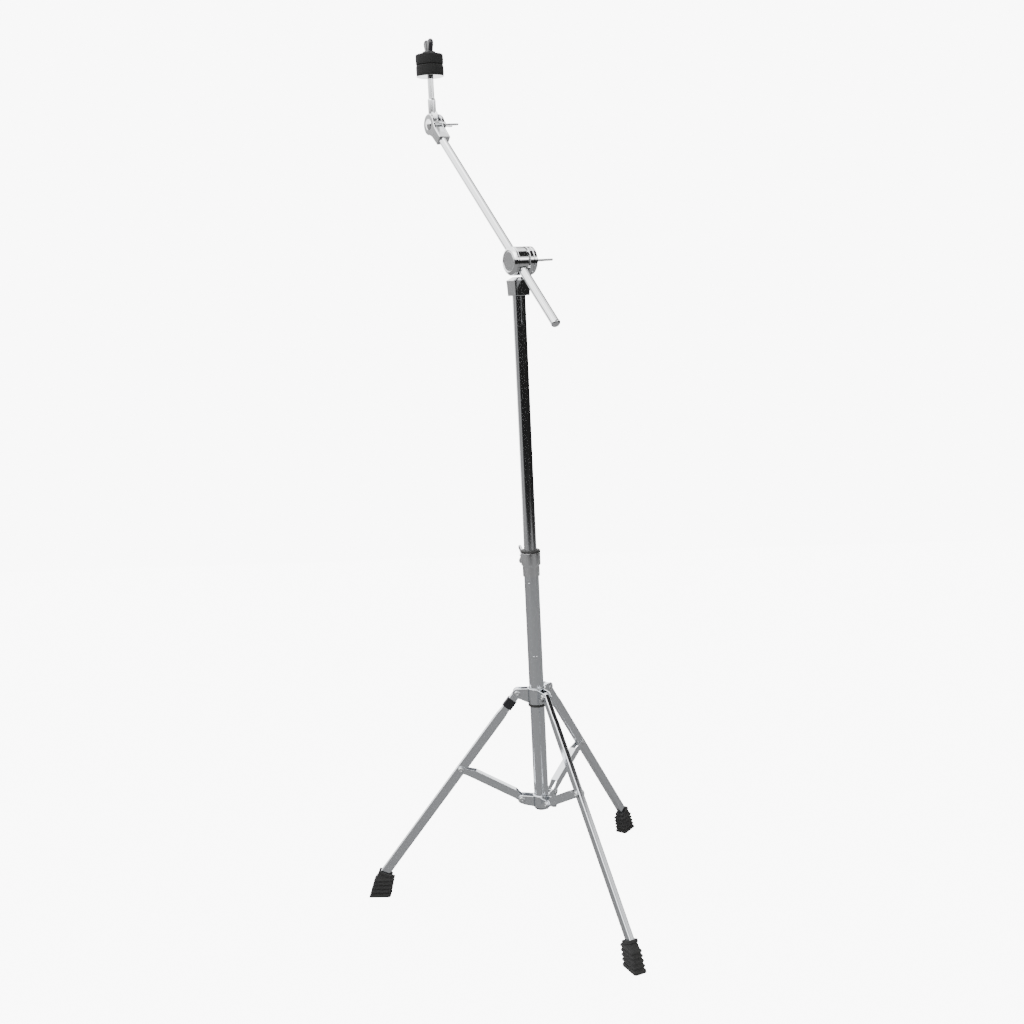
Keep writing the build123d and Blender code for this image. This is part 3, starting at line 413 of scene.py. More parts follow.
TUBE_CHROME = Plated("tube_chrome", (0.60, 0.62, 0.675), 0.24, 0.00002, haze=0.12, smear=0.8)
MAST_CHROME = Plated("mast_chrome", (0.70, 0.71, 0.72), 0.04, 0.00001, haze=0.1, smear=0.5, ripple=0.6)
BRIGHT_CHROME = Plated("bright_chrome", (0.78, 0.79, 0.80), 0.05, 0.00001, haze=0.12, smear=0.6)
STEEL = Plated("steel", (0.45, 0.45, 0.46), 0.28, 0.00002, haze=0.2)
BLACK_NYLON = Moulded("black_nylon", (0.0005, 0.0005, 0.0006), 0.46, 0.00002, grain=0.6, dust=0.12)
BLACK_RUBBER = Moulded("black_rubber", (0.0005, 0.0005, 0.0006), 0.58, 0.00005, grain=1.0, dust=0.25)
BLACK_PLASTIC = Moulded("black_plastic", (0.0005, 0.0005, 0.0006), 0.42, 0.00002, grain=0.5, dust=0.1)
BAND_BLACK = Moulded("band_black", (0.010, 0.010, 0.012), 0.12, 0.00001, grain=0.15, dust=0.15, shine=0.5)
BLACK_FELT = Felted("black_felt", (0.0006, 0.0006, 0.0007), 1.0, 0.0004)
FINISHES = {finish.name: finish.material() for finish in (
    TUBE_CHROME, MAST_CHROME, BRIGHT_CHROME, STEEL, BLACK_NYLON, BLACK_RUBBER, BLACK_PLASTIC, BAND_BLACK, BLACK_FELT)}


# ---------------------------------------------------------------------------------------------
# Modelling by operators
# ---------------------------------------------------------------------------------------------


def deselect() -> None:
    """Leaves edit mode and deselects every object."""
    if bpy.context.object and bpy.context.object.mode == "EDIT":
        bpy.ops.object.mode_set(mode="OBJECT")
    bpy.ops.object.select_all(action="DESELECT")


def pick(*pieces: bpy.types.Object) -> None:
    """Selects only these pieces, and makes the first one active."""
    deselect()
    for piece in pieces:
        piece.select_set(True)
    bpy.context.view_layer.objects.active = pieces[0]


def trace(name: str, points: Sequence[Vector]) -> bpy.types.Object:
    """Draws a line of edges through points, and stays in edit mode with all of it selected.

    Args:
        name: name of the new piece.
        points: corners in the piece's own axes.

    Returns:
        The piece.
    """
    deselect()
    bpy.ops.mesh.primitive_plane_add(size=MM, location=(0, 0, 0))
    piece = bpy.context.object
    piece.name = name
    piece.data.name = name
    bpy.ops.object.mode_set(mode="EDIT")
    bpy.ops.mesh.select_all(action="SELECT")
    bpy.ops.mesh.merge(type="CENTER")
    bpy.ops.transform.translate(value=points[0])
    for here, there in zip(points, points[1:]):
        bpy.ops.mesh.extrude_region_move(TRANSFORM_OT_translate={"value": there - here})
    bpy.ops.mesh.select_all(action="SELECT")
    return piece


def tidy_mesh() -> None:
    """In edit mode, merges doubles and turns every face outwards, then returns to object mode."""
    bpy.ops.mesh.select_all(action="SELECT")
    bpy.ops.mesh.remove_doubles(threshold=MM * 0.002)
    bpy.ops.mesh.normals_make_consistent(inside=False)
    bpy.ops.object.mode_set(mode="OBJECT")


def round_edges(piece: bpy.types.Object, width: float, segments: int = 3, angle: float = 32.0) -> None:
    """Applies a bevel to a piece's sharp edges.

    Args:
        piece: piece to round.
        width: bevel width in metres.
        segments: faces across the bevel.
        angle: edges sharper than this many degrees are rounded.
    """
    pick(piece)
    bevel = piece.modifiers.new("rounding", "BEVEL")
    bevel.width = width
    bevel.segments = segments
    bevel.limit_method = "ANGLE"
    bevel.angle_limit = math.radians(angle)
    bevel.use_clamp_overlap = True
    bpy.ops.object.modifier_apply(modifier=bevel.name)


def turned(name: str, profile: Sequence[Point], steps: int = 72, rounding: float = 0.0) -> bpy.types.Object:
    """Turns a profile about the piece's own Z, as on a lathe.

    Args:
        name: name of the piece.
        profile: (radius, height) corners in metres. A closed profile makes a ring.
        steps: faces round the piece.
        rounding: width of the edge rounding, or 0.

    Returns:
        The turned piece, in object mode.
    """
    piece = trace(name, [Vector((radius, 0, height)) for radius, height in profile])
    bpy.ops.mesh.spin(steps=steps, angle=math.tau, center=(0, 0, 0), axis=(0, 0, 1))
    tidy_mesh()
    if rounding:
        round_edges(piece, rounding)
    return piece


def plate(name: str, outline: Sequence[Point], thickness: float, rounding: float = 0.0,
          segments: int = 3) -> bpy.types.Object:
    """Cuts a flat plate in the piece's own XY and thickens it evenly both ways.

    Args:
        name: name of the piece.
        outline: (x, y) corners in metres, in order, not repeated at the end.
        thickness: full thickness in metres.
        rounding: width of the edge rounding, or 0.
        segments: faces across the rounding.

    Returns:
        The plate, in object mode.
    """
    piece = trace(name, [Vector((x, y, -thickness / 2)) for x, y in outline])
    bpy.ops.mesh.edge_face_add()
    bpy.ops.mesh.extrude_region_move(TRANSFORM_OT_translate={"value": (0, 0, thickness)})
    tidy_mesh()
    if rounding:
        round_edges(piece, rounding, segments)
    return piece


def arc(centre: Point, radius: float, start: float, end: float, steps: int) -> list[Point]:
    """Points along an arc.

    Args:
        centre: arc centre.
        radius: arc radius.
        start: first angle in degrees.
        end: last angle in degrees.
        steps: stretches between the points.

    Returns:
        The points, both ends included.
    """
    angles = (math.radians(start + (end - start) * step / steps) for step in range(steps + 1))
    return [(centre[0] + radius * math.cos(a), centre[1] + radius * math.sin(a)) for a in angles]


def place(piece: bpy.types.Object, where: Matrix) -> bpy.types.Object:
    """Puts a piece's own axes at a place and applies it to the mesh."""
    pick(piece)
    piece.matrix_world = where
    bpy.ops.object.transform_apply(location=True, rotation=True, scale=True)
    return piece


def join(name: str, pieces: Sequence[bpy.types.Object]) -> bpy.types.Object:
    """Joins pieces into the first one and names it."""
    pick(*pieces)
    bpy.ops.object.join()
    pieces[0].name = name
    pieces[0].data.name = name
    return pieces[0]


def cut(piece: bpy.types.Object, tools: Iterable[bpy.types.Object], kind: str = "DIFFERENCE") -> None:
    """Applies a Boolean with each tool, then removes the tool."""
    for tool in tools:
        pick(piece)
        boolean = piece.modifiers.new("cut", "BOOLEAN")
        boolean.operation = kind
        boolean.solver = "EXACT"
        boolean.object = tool
        bpy.ops.object.modifier_apply(modifier=boolean.name)
        bpy.data.objects.remove(tool)


def hand_over(piece: bpy.types.Object, finish: Finish, body: str, replaced: Sequence[str],
              angle: float = 35.0) -> bpy.types.Object:
    """Shades a finished piece so that wide faces mirror flat, dresses it and hangs it on its body.

    Args:
        piece: piece whose mesh is already in place.
        finish: its finish.
        body: CAD body it moves with.
        replaced: CAD nodes it stands for.
        angle: edges sharper than this many degrees stay crisp.

    Returns:
        The piece.
    """
    pick(piece)
    bpy.ops.object.shade_smooth_by_angle(angle=math.radians(angle))
    steady = piece.modifiers.new("steady", "WEIGHTED_NORMAL")
    steady.weight = 100
    steady.keep_sharp = True
    bpy.ops.object.modifier_apply(modifier=steady.name)
    piece.data.materials.clear()
    piece.data.materials.append(FINISHES[finish.name])
    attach(piece, body)
    if replaced:
        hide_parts(*replaced)
    LOG.info("%s: %d faces on %s", piece.name, len(piece.data.polygons), body)
    return piece


def slab(name: str, outline: Sequence[Point], sections: Sequence["Section"]) -> bpy.types.Object:
    """Grows a closed form upwards from an outline, one section at a time.

    Args:
        name: name of the piece.
        outline: (x, y) corners of the first section, centred on zero.
        sections: the sections, from the lowest to the highest.

    Returns:
        The closed form, in object mode.
    """
    first = sections[0]
    piece = trace(name, [Vector((x, y, 0)) for x, y in outline])
    bpy.ops.mesh.edge_face_add()
    first.move(Vector((0, 0, 0)), None)
    for before, here in zip(sections, sections[1:]):
        bpy.ops.mesh.extrude_region_move()
        here.move(before.centre, before)
    tidy_mesh()
    return piece


@dataclass(frozen=True)
class Section:
    """One level of a grown form.

    Args:
        height: height of the section's middle, in metres.
        length: its size along X.
        width: its size along Y.
        shift: its place along X.
        lean: turn about Y in degrees, which lifts its +X end.
    """

    height: float
    length: float
    width: float
    shift: float = 0.0
    lean: float = 0.0

    @property
    def centre(self) -> Vector:
        """The section's middle."""
        return Vector((self.shift, 0, self.height))

    def move(self, start: Vector, before: "Section | None") -> None:
        """Shapes the selected loop, which still has the shape of the section before it."""
        length, width, lean = (before.length, before.width, before.lean) if before else (self.length, self.width, 0.0)
        bpy.ops.transform.translate(value=self.centre - start)
        if lean:
            bpy.ops.transform.rotate(value=-math.radians(lean), orient_axis="Y", center_override=self.centre)
        bpy.ops.transform.resize(value=(self.length / length, self.width / width, 1.0), center_override=self.centre)
        if self.lean:
            bpy.ops.transform.rotate(value=math.radians(self.lean), orient_axis="Y", center_override=self.centre)


def rounded(length: float, width: float, radius: float, steps: int = 4) -> list[Point]:
    """Outline of a rectangle with round corners, centred on zero."""
    x, y = length / 2 - radius, width / 2 - radius
    corners = ((x, y, 0), (-x, y, 90), (-x, -y, 180), (x, -y, 270))
    return [point for cx, cy, start in corners for point in arc((cx, cy), radius, start, start + 90, steps)]


def gear(radius: float, depth: float, teeth: int) -> list[Point]:
    """Outline of a ring of pointed teeth, centred on zero."""
    points = []
    for step in range(2 * teeth):
        turn = math.pi * step / teeth
        reach = radius - depth * (step % 2)
        points.append((reach * math.cos(turn), reach * math.sin(turn)))
    return points


def pebble(radius: float, thickness: float, where: Point) -> bpy.types.Object:
    """Disc with a fully rounded rim, lying in the XZ plane of a wing."""
    half = thickness / 2
    rim = [(radius - half + half * math.cos(a), half * math.sin(a)) for a in
           (math.radians(90 - step * 22.5) for step in range(9))]
    disc = turned("pebble", [(0, half)] + rim + [(0, -half)], 40)
    return place(disc, Matrix.Translation((where[0], 0, where[1])) @ Matrix.Rotation(math.pi / 2, 4, "X"))


def wrapped(name: str, pieces: Sequence[bpy.types.Object]) -> bpy.types.Object:
    """Joins pieces and stretches one convex skin round them."""
    piece = join(name, pieces)
    bpy.ops.object.mode_set(mode="EDIT")
    bpy.ops.mesh.select_all(action="SELECT")
    bpy.ops.mesh.convex_hull()
    tidy_mesh()
    return piece


def cast(piece: bpy.types.Object, grain: float, passes: int) -> bpy.types.Object:
    """Melts a joined piece into one skin with soft inner corners, like a casting.

    Args:
        piece: joined piece.
        grain: voxel size in metres.
        passes: how often the skin is relaxed.

    Returns:
        The piece.
    """
    pick(piece)
    skin = piece.modifiers.new("skin", "REMESH")
    skin.mode = "VOXEL"
    skin.voxel_size = grain
    bpy.ops.object.modifier_apply(modifier=skin.name)
    relax = piece.modifiers.new("relax", "SMOOTH")
    relax.factor = 0.5
    relax.iterations = passes
    bpy.ops.object.modifier_apply(modifier=relax.name)
    return piece


def rod_tool(start: Vector, end: Vector, radius: float) -> bpy.types.Object:
    """Round cutter between two points."""
    length = (end - start).length
    tool = turned("tool", [(0, 0), (radius, 0), (radius, length), (0, length)], 64)
    side = Vector((1, 0, 0)) if abs((end - start).normalized().x) < 0.9 else Vector((0, 1, 0))
    return place(tool, axes(start, end - start, side))


def ring(name: str, outer: float, inner: float, bottom: float, top: float, rounding: float,
         steps: int = 96) -> bpy.types.Object:
    """Upright ring or tube with rounded rims."""
    profile = [(inner, bottom), (outer, bottom), (outer, top), (inner, top), (inner, bottom)]
    return turned(name, profile, steps, rounding)


@dataclass(frozen=True)
class Wings:
    """Sizes of a wing nut or wing screw, in millimetres.

    Args:
        hub: radius of the hub at its foot.
        height: height of the hub.
        reach: how far the wings go sideways.
        rise: how far they go out along the screw.
        tip: radius of a wing's tip.
        thickness: thickness of a wing.
        bore: radius of the hole, or 0 for a screw.
        shank: length of a screw's shank below the hub.
    """

    hub: float
    height: float
    reach: float
    rise: float
    tip: float
    thickness: float
    bore: float = 0.0
    shank: float = 0.0

    def build(self, name: str, root: float, grain: float = 0.34) -> bpy.types.Object:
        """Casts the nut or screw in its own axes, with Z out along the screw.

        Args:
            name: name of the piece.
            root: radius that the wings spring from.
            grain: voxel size in millimetres.

        Returns:
            The piece.
        """
        top = self.hub - self.height * 0.12
        hub = turned("hub", [(0, 0.05 * MM), ((self.hub - 0.5) * MM, 0.05 * MM), (self.hub * MM, 0.6 * MM),
                             (top * MM, (self.height - 0.8) * MM), ((top - 0.9) * MM, self.height * MM),
                             (0, self.height * MM)], 64)
        parts = [hub]
        for side in (-1, 1):
            inner = pebble((root - 1.0) * MM, self.thickness * MM, (side * (root - 2.0) * MM, root * MM))
            outer = pebble(self.tip * MM, self.thickness * MM,
                           (side * (self.reach - self.tip) * MM, (self.rise - self.tip) * MM))
            parts.append(wrapped("wing", [inner, outer]))
        piece = cast(join(name, parts), grain * MM, 8)
        if self.bore:
            cut(piece, [rod_tool(Vector((0, 0, -2 * MM)), Vector((0, 0, 40 * MM)), self.bore * MM)])
        if self.shank:
            profile = [(0, 0.5), (2.9, 0.5)]
            depth = 0.0
            while depth < self.shank - 1.2:
                profile += [(2.95, -depth), (2.55, -depth - 0.5)]
                depth += 1.0
            profile += [(2.5, -self.shank + 0.3), (2.0, -self.shank), (0, -self.shank)]
            piece = join(name, [piece, turned("shank", [(r * MM, z * MM) for r, z in profile], 40)])
        return piece


def rivet(grip: float) -> bpy.types.Object:
    """Hollow rivet along Z with a rolled head on each side of its grip (millimetres)."""
    head = [(0, 0.35), (1.0, 0.35), (1.35, 0.6), (1.6, 1.2), (2.3, 1.45), (3.2, 1.3), (3.95, 0.85), (4.35, 0.3),
            (4.35, 0.03), (2.45, 0.03)]
    profile = [(r, grip + z) for r, z in head] + [(r, -grip - z) for r, z in reversed(head)]
    return turned("rivet", [(r * MM, z * MM) for r, z in profile], 40)


# ---------------------------------------------------------------------------------------------
# Sub-assemblies
# ---------------------------------------------------------------------------------------------


@dataclass(frozen=True)
class Ear:
    """A pair of ears round a hinge, in millimetres.

    Args:
        gap: half the room between the ears.
        thickness: thickness of an ear.
        outline: (x, z) corners measured from the mast's axis and the hinge's height.
    """

    gap: float
    thickness: float
    outline: tuple[Point, ...]

    def build(self, hinge: Vector, side: Vector) -> list[bpy.types.Object]:
        """Builds both ears of one hinge."""
        outward = Vector((hinge.x, hinge.y, 0)).normalized()
        pieces = []
        for sign in (-1, 1):
            ear = plate("ear", [(x * MM, z * MM) for x, z in self.outline], self.thickness * MM, 0.45 * MM, 3)
            offset = sign * (self.gap + self.thickness / 2) * MM
            pieces.append(place(ear, axes(side * offset + UP * hinge.z, side, outward)))
        return pieces


@dataclass
class BaseAssembly:
    """Lower tube, its bracket for the struts, the height clamp and its bush."""

    wall: float = 1.2
    tube: str = "base_tube"

    def build(self) -> None:
        """Models the pieces that stand on the base body."""
        self.lower_tube()
        self.bracket()
        self.clamp()
        self.bush()

    def lower_tube(self) -> None:
        """Drawn tube with rolled ends and three small dimples."""
        radius = radius_of(self.tube)
        piece = ring("lower_tube", radius, radius - self.wall * MM, low(self.tube), high(self.tube), 0.35 * MM)
        dents = []
        for turn, height in ((262, 0.388), (284, 0.388), (250, 0.501)):
            angle = math.radians(turn)
            reach = radius * 1.09
            ball = [(1.6 * MM * math.sin(a), -1.6 * MM * math.cos(a)) for a in
                    (math.pi * step / 12 for step in range(13))]
            dent = turned("dent", ball, 24)
            dents.append(place(dent, Matrix.Translation((reach * math.cos(angle), reach * math.sin(angle), height))))
        cut(piece, dents)
        hand_over(piece, TUBE_CHROME, "base", [self.tube])

    def bracket(self) -> None:
        """Sleeve with three pairs of ears, pressed round the tube's foot."""
        hinges = [joint_place(f"strut_{n}_hinge") for n in (1, 2, 3)]
        height = hinges[0].z
        sleeve = ring("bracket", radius_of(self.tube) + 1.9 * MM, radius_of(self.tube) + 0.01 * MM,
                      height - 13.0 * MM, height + 6.0 * MM, 0.6 * MM)
        ear = Ear(6.15, 1.8, ((11.5, -11.4), (25.5, -8.4), *arc((29.5, 0), 6.4, -80, 80, 14), (24.5, 6.0), (11.5, 4.6)))
        parts = [sleeve]
        for number, hinge in enumerate(hinges, start=1):
            parts += ear.build(hinge, joint_axis(f"strut_{number}_hinge"))
        hand_over(join("strut_bracket", parts), TUBE_CHROME, "base", ["lower_bracket"])
        pins = [place(rivet(7.95), axes(hinge, joint_axis(f"strut_{n}_hinge"), UP))
                for n, hinge in enumerate(hinges, start=1)]
        hand_over(join("bracket_rivets", pins), STEEL, "base", ["strut_hinge_rivets"])

    def clamp(self) -> None:
        """Turned clamp with a thicker ring on top and a boss for its wing screw."""
        bottom, top = low("height_clamp"), high("height_clamp")
        tube_top, tube_r = high(self.tube), radius_of(self.tube)
        bore, outer = 11.71 * MM, 14.63 * MM
        sleeve = tube_r + 1.68 * MM
        profile = [(tube_r + 0.01 * MM, bottom), (sleeve, bottom), (sleeve, tube_top + 1.2 * MM),
                   (outer, tube_top + 3.2 * MM), (outer, top), (bore, top), (bore, tube_top),
                   (tube_r + 0.01 * MM, tube_top - 0.3 * MM), (tube_r + 0.01 * MM, bottom)]
        body = turned("clamp", profile, 96, 0.5 * MM)
        screw = joint_place("clamp_screw_turn")
        out = joint_axis("clamp_screw_turn")
        boss = self.boss(outer + 5.4 * MM, 5.45 * MM, 3.15 * MM)
        boss = place(boss, axes(UP * screw.z, out, UP))
        hand_over(join("clamp_body", [body, boss]), BRIGHT_CHROME, "base", ["height_clamp"])
        wings = Wings(5.0, 7.0, 14.4, 15.4, 3.8, 3.0, shank=8.4).build("clamp_screw", 5.0)
        place(wings, axes(UP * screw.z + out * (outer + 6.0 * MM), out, UP))
        hand_over(wings, BRIGHT_CHROME, "clamp_screw", ["height_clamp_screw"])

    @staticmethod
    def boss(reach: float, radius: float, bore: float) -> bpy.types.Object:
        """Threaded boss along Z with a rounded face, from inside the wall out to its reach."""
        start = 12.9 * MM
        profile = [(bore, start), (radius, start), (radius, reach), (bore + 0.5 * MM, reach), (bore, reach - 0.5 * MM),
                   (bore, start)]
        return turned("boss", profile, 64, 0.6 * MM)

    @staticmethod
    def bush() -> None:
        """Nylon bush whose split flange shows above the clamp."""
        bottom, top = low("height_bush"), high("height_bush")
        inner = 9.61 * MM
        profile = [(inner, bottom), (11.6 * MM, bottom), (11.6 * MM, top - 3.5 * MM), (14.9 * MM, top - 3.5 * MM),
                   (14.9 * MM, top - 1.0 * MM), (13.9 * MM, top), (inner + 0.7 * MM, top), (inner, top - 0.5 * MM),
                   (inner, bottom)]
        hand_over(turned("clamp_bush", profile, 96, 0.3 * MM), BLACK_NYLON, "swivel_bush", ["height_bush"])


@dataclass
class LegCollar:
    """Sliding collar that carries the legs, with its bush, rivets and wing screw."""

    inner: float = 12.07
    outer: float = 13.78

    def build(self) -> None:
        """Models the pieces of the collar."""
        hinges = [joint_place(f"leg_{n}_hinge") for n in (1, 2, 3)]
        sleeve = ring("collar", self.outer * MM, self.inner * MM, low("leg_collar"), high("leg_collar"), 0.55 * MM)
        ear = Ear(4.6, 1.8, ((12.6, -14.6), (15.5, -13.8), (24.0, -9.6), *arc((29.5, 0), 7.4, -66, 80, 14),
                             (30.5, 7.4), (12.6, 7.4)))
        parts = [sleeve]
        for number, hinge in enumerate(hinges, start=1):
            parts += ear.build(hinge, joint_axis(f"leg_{number}_hinge"))
        screw = joint_place("collar_screw_turn")
        out = joint_axis("collar_screw_turn")
        boss = BaseAssembly.boss(self.outer * MM + 5.4 * MM, 5.45 * MM, 3.1 * MM)
        parts.append(place(boss, axes(UP * screw.z, out, UP)))
        hand_over(join("collar_body", parts), TUBE_CHROME, "collar", ["leg_collar"])
        pins = [place(rivet(6.4), axes(hinge, joint_axis(f"leg_{n}_hinge"), UP))
                for n, hinge in enumerate(hinges, start=1)]
        hand_over(join("collar_rivets", pins), STEEL, "collar", ["leg_hinge_rivets"])
        wings = Wings(5.0, 7.0, 14.4, 15.4, 3.8, 3.0, shank=7.1).build("collar_screw", 5.0)
        place(wings, axes(UP * screw.z + out * (self.outer + 6.02) * MM, out, UP.cross(out)))
        hand_over(wings, BRIGHT_CHROME, "collar_screw", ["leg_collar_screw"])
        self.bush()

    def bush(self) -> None:
        """Nylon bush with a notched lip under the collar."""
        bottom, top = low("leg_collar_bush"), high("leg_collar_bush")
        lip = low("leg_collar")
        inner = 11.16 * MM
        profile = [(inner, bottom), (self.outer * MM, bottom), (self.outer * MM, lip - 0.03 * MM),
                   (12.03 * MM, lip - 0.03 * MM), (12.03 * MM, top), (inner, top), (inner, bottom)]
        piece = turned("collar_bush", profile, 96)
        notches = []
        for step in range(16):
            turn = Matrix.Rotation(math.tau * step / 16, 4, "Z")
            block = plate("notch", [(-0.9 * MM, -1.0 * MM), (1.0 * MM, -1.0 * MM), (1.0 * MM, 1.0 * MM),
                                    (-0.9 * MM, 1.0 * MM)], 3.2 * MM)
            notches.append(place(block, turn @ Matrix.Translation((self.outer * MM, 0, bottom))))
        cut(piece, [join("notches", notches)])
        round_edges(piece, 0.2 * MM, 2)
        hand_over(piece, BLACK_NYLON, "collar", ["leg_collar_bush"])


@dataclass
class Leg:
    """One leg with its rubber foot, its strut and the strut's outer rivets.

    Args:
        number: the leg's number in the record.
    """

    number: int
    depth: float = 15.0
    width: float = 8.5
    floor_gap: float = 27.0

    def build(self) -> None:
        """Models the leg's pieces."""
        self.hinge = joint_place(f"leg_{self.number}_hinge")
        self.foot_hinge = joint_place(f"strut_{self.number}_hinge")
        self.side = joint_axis(f"leg_{self.number}_hinge")
        self.outward = Vector((self.hinge.x, self.hinge.y, 0)).normalized()
        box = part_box(f"strut_outer_rivets_{self.number}")
        self.brace = (box[0] + box[1]) / 2
        self.down = (self.brace - self.hinge).normalized()
        self.length = (self.hinge.z - self.floor_gap * MM) / -self.down.z
        self.bar()
        self.foot()
        self.strut()
        self.outer_rivets()

    def bar(self) -> None:
        """Pressed oval bar with a narrowed, rounded head."""
        half, neck = self.depth / 2, 6.5
        end = self.length / MM
        points = ([(end - 0.3, -half), (end - 0.3, half)] + [(46.0, half), (42.0, half - 0.15), (36.0, neck + 0.25),
                  (32.0, neck)] + arc((0, 0), neck, 90, 270, 20) + [(32.0, -neck), (36.0, -neck - 0.25),
                  (42.0, -half + 0.15), (46.0, -half)])
        piece = plate(f"leg_bar_{self.number}", [(x * MM, y * MM) for x, y in points], self.width * MM, 2.1 * MM, 5)
        where = axes(self.hinge, self.side, self.down)
        place(piece, where)
        bore = rod_tool(self.hinge - self.side * 0.01, self.hinge + self.side * 0.01, 2.56 * MM)
        cut(piece, [bore])
        hand_over(piece, TUBE_CHROME, f"leg_{self.number}", [f"leg_{self.number}"])
        if self.number == 1:
            band = slab("band", rounded(15.0 * MM, 8.9 * MM, 2.3 * MM), [
                Section(13.2 * MM, 14.2 * MM, 8.7 * MM), Section(13.5 * MM, 15.2 * MM, 9.1 * MM),
                Section(28.6 * MM, 15.2 * MM, 9.1 * MM), Section(28.9 * MM, 14.2 * MM, 8.7 * MM)])
            place(band, axes(self.hinge, self.down, self.side.cross(self.down)))
            hand_over(band, BAND_BLACK, "leg_1", ["leg_band"])

    def foot(self) -> None:
        """Rubber foot: a sole, four shelves of ribs and a slanted cuff round the leg."""
        slope = -(self.down - UP * self.down.z).length / self.down.z
        hinge_r = (self.hinge - UP * self.hinge.z).length / MM

        def reach(height: float) -> float:
            """Distance of the leg's line from the mast's axis, in millimetres."""
            return hinge_r + (self.hinge.z / MM - height) * slope

        rim_z, lean = 39.6, 22.6
        sole, rim = reach(self.floor_gap) + 1.0, reach(rim_z) - 0.8

        def level(height: float, grow_x: float = 0.0, grow_y: float = 0.0) -> Section:
            """Level section of the core, grown outwards for a rib."""
            share = height / rim_z
            knee = 1.0 - abs(height / 29.0 - 1.0)
            length = 33.0 - 4.8 * share + 0.9 * max(knee, 0.0)
            return Section(height * MM, (length + grow_x) * MM, (16.6 - 2.6 * share + grow_y) * MM,
                           (sole + (rim - sole) * share) * MM)

        sections = [level(0.02, -0.6, 1.6), level(0.7, 1.2, 3.8), level(3.9, 1.2, 3.8), level(4.5, 0.3, 2.6),
                    level(5.2)]
        for rib in (8.0, 14.4, 20.8, 27.2):
            sections += [level(rib - 0.7), level(rib, 0.3, 1.6), level(rib + 0.5, 1.3, 3.7),
                         level(rib + 2.0, 1.3, 3.7), level(rib + 2.7, 0.3, 1.6), level(rib + 3.4)]
        along = Vector((-math.sin(math.radians(lean)), 0, math.cos(math.radians(lean))))
        for drop, length, width in ((4.9, 19.8, 13.4), (4.8, 22.0, 14.8), (4.2, 22.6, 15.2), (0.7, 22.6, 15.2),
                                    (0.1, 21.6, 14.3), (0.1, 18.4, 11.6), (1.2, 17.6, 10.8)):
            centre = Vector((rim, 0, rim_z)) - along * drop
            sections.append(Section(centre.z * MM, length * MM, width * MM, centre.x * MM, lean))
        piece = slab(f"rubber_foot_{self.number}", rounded(sections[0].length, sections[0].width, 3.0 * MM), sections)
        place(piece, axes(Vector((0, 0, 0)), UP, self.outward))
        hand_over(piece, BLACK_RUBBER, f"leg_{self.number}", [f"foot_{self.number}"], 48.0)

    def strut(self) -> None:
        """Pressed channel whose cheeks straddle the leg, with a narrowed end at the bracket."""
        span_mm = (self.brace - self.foot_hinge).length / MM
        cheek = ([*arc((0, 0), 5.5, 100, 250, 12), (10, -3.7), (span_mm - 14, -3.7),
                  *arc((span_mm, 0), 5.5, -70, 80, 12), (span_mm - 10, 5.6), (span_mm - 21, 8.9), (14, 8.9), (6, 5.6)])
        parts = []
        for sign in (-1, 1):
            wall = plate("cheek", [(x * MM, y * MM) for x, y in cheek], 1.16 * MM, 0.35 * MM, 2)
            parts.append(place(wall, Matrix.Translation((0, 0, sign * 5.2 * MM))))
        web = plate("web", [(14.5 * MM, -5.75 * MM), ((span_mm - 22) * MM, -5.75 * MM),
                            ((span_mm - 22) * MM, 5.75 * MM), (14.5 * MM, 5.75 * MM)], 1.15 * MM, 0.5 * MM, 3)
        parts.append(place(web, axes(Vector((0, 8.36 * MM, 0)), Vector((0, 1, 0)), Vector((1, 0, 0)))))
        piece = join(f"strut_channel_{self.number}", parts)
        up = (self.brace - self.foot_hinge).normalized()
        place(piece, axes(self.foot_hinge, self.side, up))
        hand_over(piece, TUBE_CHROME, f"strut_{self.number}", [f"strut_{self.number}"])

    def outer_rivets(self) -> None:
        """Rivet heads on the cheeks of the strut's outer end."""
        head = [(0, -1.1), (2.45, -1.1), (2.45, 0.03), (4.35, 0.03), (4.35, 0.3), (3.95, 0.85), (3.2, 1.3), (2.3, 1.45),
                (1.6, 1.2), (1.35, 0.6), (1.0, 0.35), (0, 0.35)]
        parts = []
        for sign in (-1, 1):
            button = turned("button", [(r * MM, z * MM) for r, z in head], 40)
            parts.append(place(button, axes(self.brace + self.side * sign * 5.8 * MM, self.side * sign, UP)))
        piece = join(f"outer_rivets_{self.number}", parts)
        hand_over(piece, STEEL, f"strut_{self.number}", [f"strut_outer_rivets_{self.number}"])


